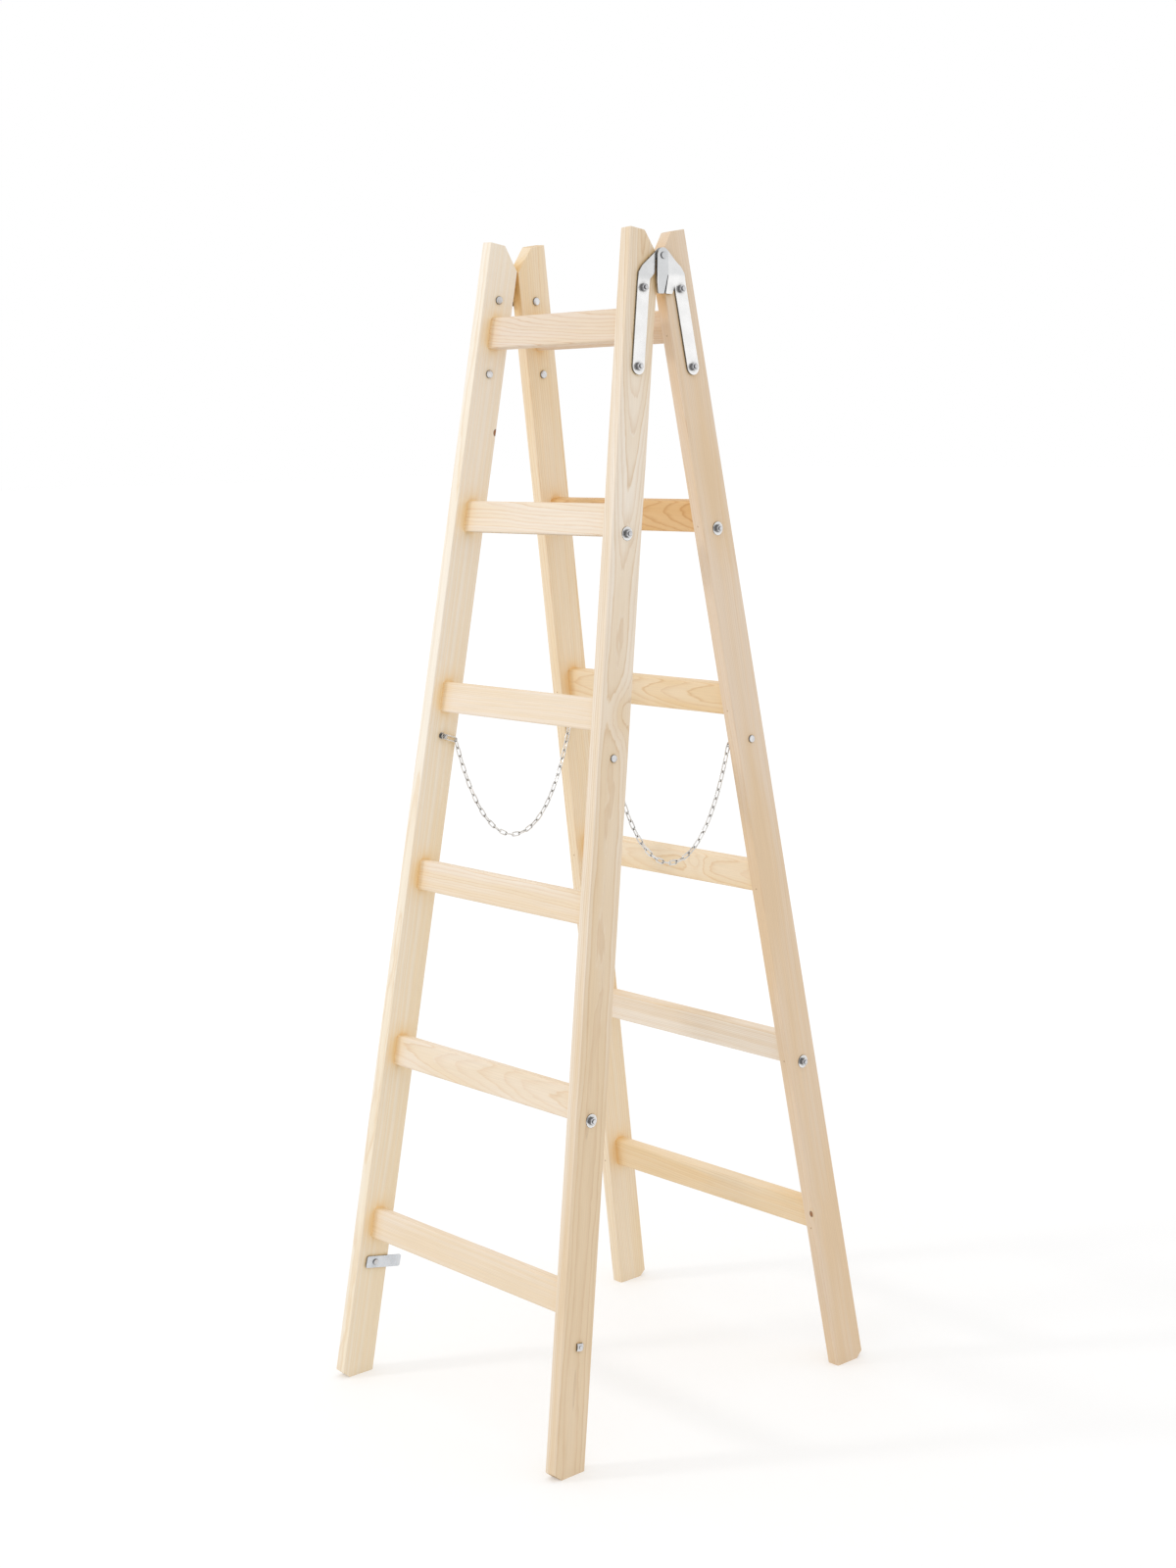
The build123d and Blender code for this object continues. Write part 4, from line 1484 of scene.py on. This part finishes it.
    def build_runs(self, hand: Hand, wire: bpy.types.Material) -> None:
        """Makes the hanging run in short stretches of links.

        Args:
            hand: Left or right.
            wire: The wire's finish.
        """
        hold = self.hold(Side.REAR, hand)
        half_span = hold.y - self.end_reach * math.cos(self.end_droop)
        end_z = hold.z - self.end_reach * math.sin(self.end_droop)
        half_length = self.link_count * self.link_pitch / 2
        scale = self.catenary(half_span, half_length)
        across = Vector((1.0, 0.0, 0.0))
        inner_width = self.link_width - 4 * self.wire_radius
        for first in range(0, self.link_count, self.run_links):
            mesh = bmesh.new()
            last = min(first + self.run_links, self.link_count)
            for step in range(first, last):
                along = (step + 0.5) * self.link_pitch - half_length
                y = scale * math.asinh(along / scale)
                z = end_z - scale * (math.cosh(half_span / scale) - math.cosh(y / scale))
                slope = math.atan2(along, scale)
                tangent = Vector((0.0, math.cos(slope), math.sin(slope)))
                flat_normal = across if step % 2 else tangent.cross(across)
                placing = board_frame(Vector((hold.x, y, z)), tangent, flat_normal.cross(tangent))
                self.add_link(mesh, placing, self.link_pitch + self.link_play, inner_width)
            piece = self.make_piece(f"chain_run_{hand.word}_{first // self.run_links + 1}", hand, mesh, wire)
            self.bend_run(piece)

    def bend_run(self, piece: bpy.types.Object) -> None:
        """Bakes a stretch's placing into its mesh.

        Args:
            piece: The stretch.
        """
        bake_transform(piece)


@dataclass
class Studio:
    """A white floor and backdrop, soft light from all round and a key light from the left."""

    ambient: float = 0.93
    key_watts: float = 15.0
    key_place: Triple = (-1.6, -2.55, 2.5)
    key_target: Triple = (0.0, 0.0, 0.9)
    key_size: float = 0.45
    floor_half: float = 60.0
    floor_tone: float = 0.8
    floor_glow: float = 0.24
    far_glow: float = 0.30
    glow_start: float = 0.9
    glow_end: float = 3.0

    def build(self) -> None:
        """Makes the floor, the world and the key light."""
        self.build_floor()
        self.build_world()
        self.build_key()

    def seen_directly(self, graph: Graph) -> Socket:
        """A mask for rays that show the background itself.

        Args:
            graph: The graph to work in.

        Returns:
            1 for camera, mirror and see-through rays.
        """
        path = graph.node("ShaderNodeLightPath").outputs
        mirrored = graph.math("MAXIMUM", path["Is Glossy Ray"], path["Is Transmission Ray"])
        return graph.math("MAXIMUM", path["Is Camera Ray"], mirrored)

    def build_floor(self) -> None:
        """Makes the floor, which keeps the ladder's shadow."""
        mesh = bpy.data.meshes.new("floor")
        half = self.floor_half
        corners = [(-half, -half, 0), (half, -half, 0), (half, half, 0), (-half, half, 0)]
        mesh.from_pydata(corners, [], [(0, 1, 2, 3)])
        floor = bpy.data.objects.new("floor", mesh)
        bpy.context.scene.collection.objects.link(floor)
        material, graph, shader = new_material("white_floor")
        shader.inputs["Base Color"].default_value = (self.floor_tone,) * 3 + (1.0,)
        shader.inputs["Roughness"].default_value = 1.0
        shader.inputs["Specular IOR Level"].default_value = 0.0
        shader.inputs["Emission Color"].default_value = WHITE
        away = graph.vector("LENGTH", graph.node("ShaderNodeTexCoord").outputs["Object"])
        glow = graph.span(away, self.glow_start, self.glow_end, self.floor_glow, self.far_glow)
        glow = graph.math("MULTIPLY", self.seen_directly(graph), glow)
        graph.feed(shader.inputs["Emission Strength"], glow)
        mesh.materials.append(material)
        log.info("floor: %s", material.name)

    def build_world(self) -> None:
        """Makes the white surroundings."""
        world = bpy.data.worlds.new("white_studio")
        world.use_nodes = True
        bpy.context.scene.world = world
        graph = Graph(world.node_tree)
        background = world.node_tree.nodes["Background"]
        background.inputs["Color"].default_value = WHITE
        strength = graph.span(self.seen_directly(graph), 0.0, 1.0, self.ambient, 1.0, smooth=False)
        graph.feed(background.inputs["Strength"], strength)

    def build_key(self) -> None:
        """Makes the key light, from the left and in front of the ladder."""
        lamp = bpy.data.lights.new("key", "AREA")
        lamp.shape = "DISK"
        lamp.size = self.key_size
        lamp.energy = self.key_watts
        key = bpy.data.objects.new("key", lamp)
        key.location = self.key_place
        towards = Vector(self.key_place) - Vector(self.key_target)
        key.rotation_mode = "QUATERNION"
        key.rotation_quaternion = towards.to_track_quat("Z", "Y")
        bpy.context.scene.collection.objects.link(key)


@dataclass
class Camera:
    """The camera at the picture's viewpoint."""

    place: Triple = (2.6242, -2.3455, 1.4815)
    yaw: float = -0.8425
    pitch: float = -0.1518
    roll: float = -0.0174
    focal_pixels: float = 2357.9
    image_height: float = 1600.0
    sensor: float = 36.0

    def build(self) -> None:
        """Makes the camera and sets it as the scene's own."""
        flat = math.cos(self.pitch)
        forward = Vector((math.sin(self.yaw) * flat, math.cos(self.yaw) * flat, math.sin(self.pitch)))
        level = Vector((math.cos(self.yaw), -math.sin(self.yaw), 0.0))
        upright = level.cross(forward)
        right = level * math.cos(self.roll) + upright * math.sin(self.roll)
        up = upright * math.cos(self.roll) - level * math.sin(self.roll)
        data = bpy.data.cameras.new("camera")
        data.sensor_width = self.sensor
        data.lens = self.focal_pixels / self.image_height * self.sensor
        camera = bpy.data.objects.new("camera", data)
        rotation = Matrix((right, up, -forward)).transposed()
        camera.matrix_world = Matrix.Translation(Vector(self.place)) @ rotation.to_4x4()
        bpy.context.scene.collection.objects.link(camera)
        bpy.context.scene.camera = camera
        log.info("camera: lens %.2f mm", data.lens)


def main() -> None:
    """Builds and dresses the ladder, then lights it."""
    logging.basicConfig(level=logging.INFO, format="%(name)s %(message)s")
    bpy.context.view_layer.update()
    bpy.context.scene.view_settings.view_transform = "Standard"
    shape = LadderShape()
    Camera().build()
    Timber(shape, STILES, RUNGS).dress()
    Hinges().dress()
    TieRods().dress()
    Chains(shape).build()
    Latches().dress()
    Studio().build()


if __name__ == "__main__":
    main()
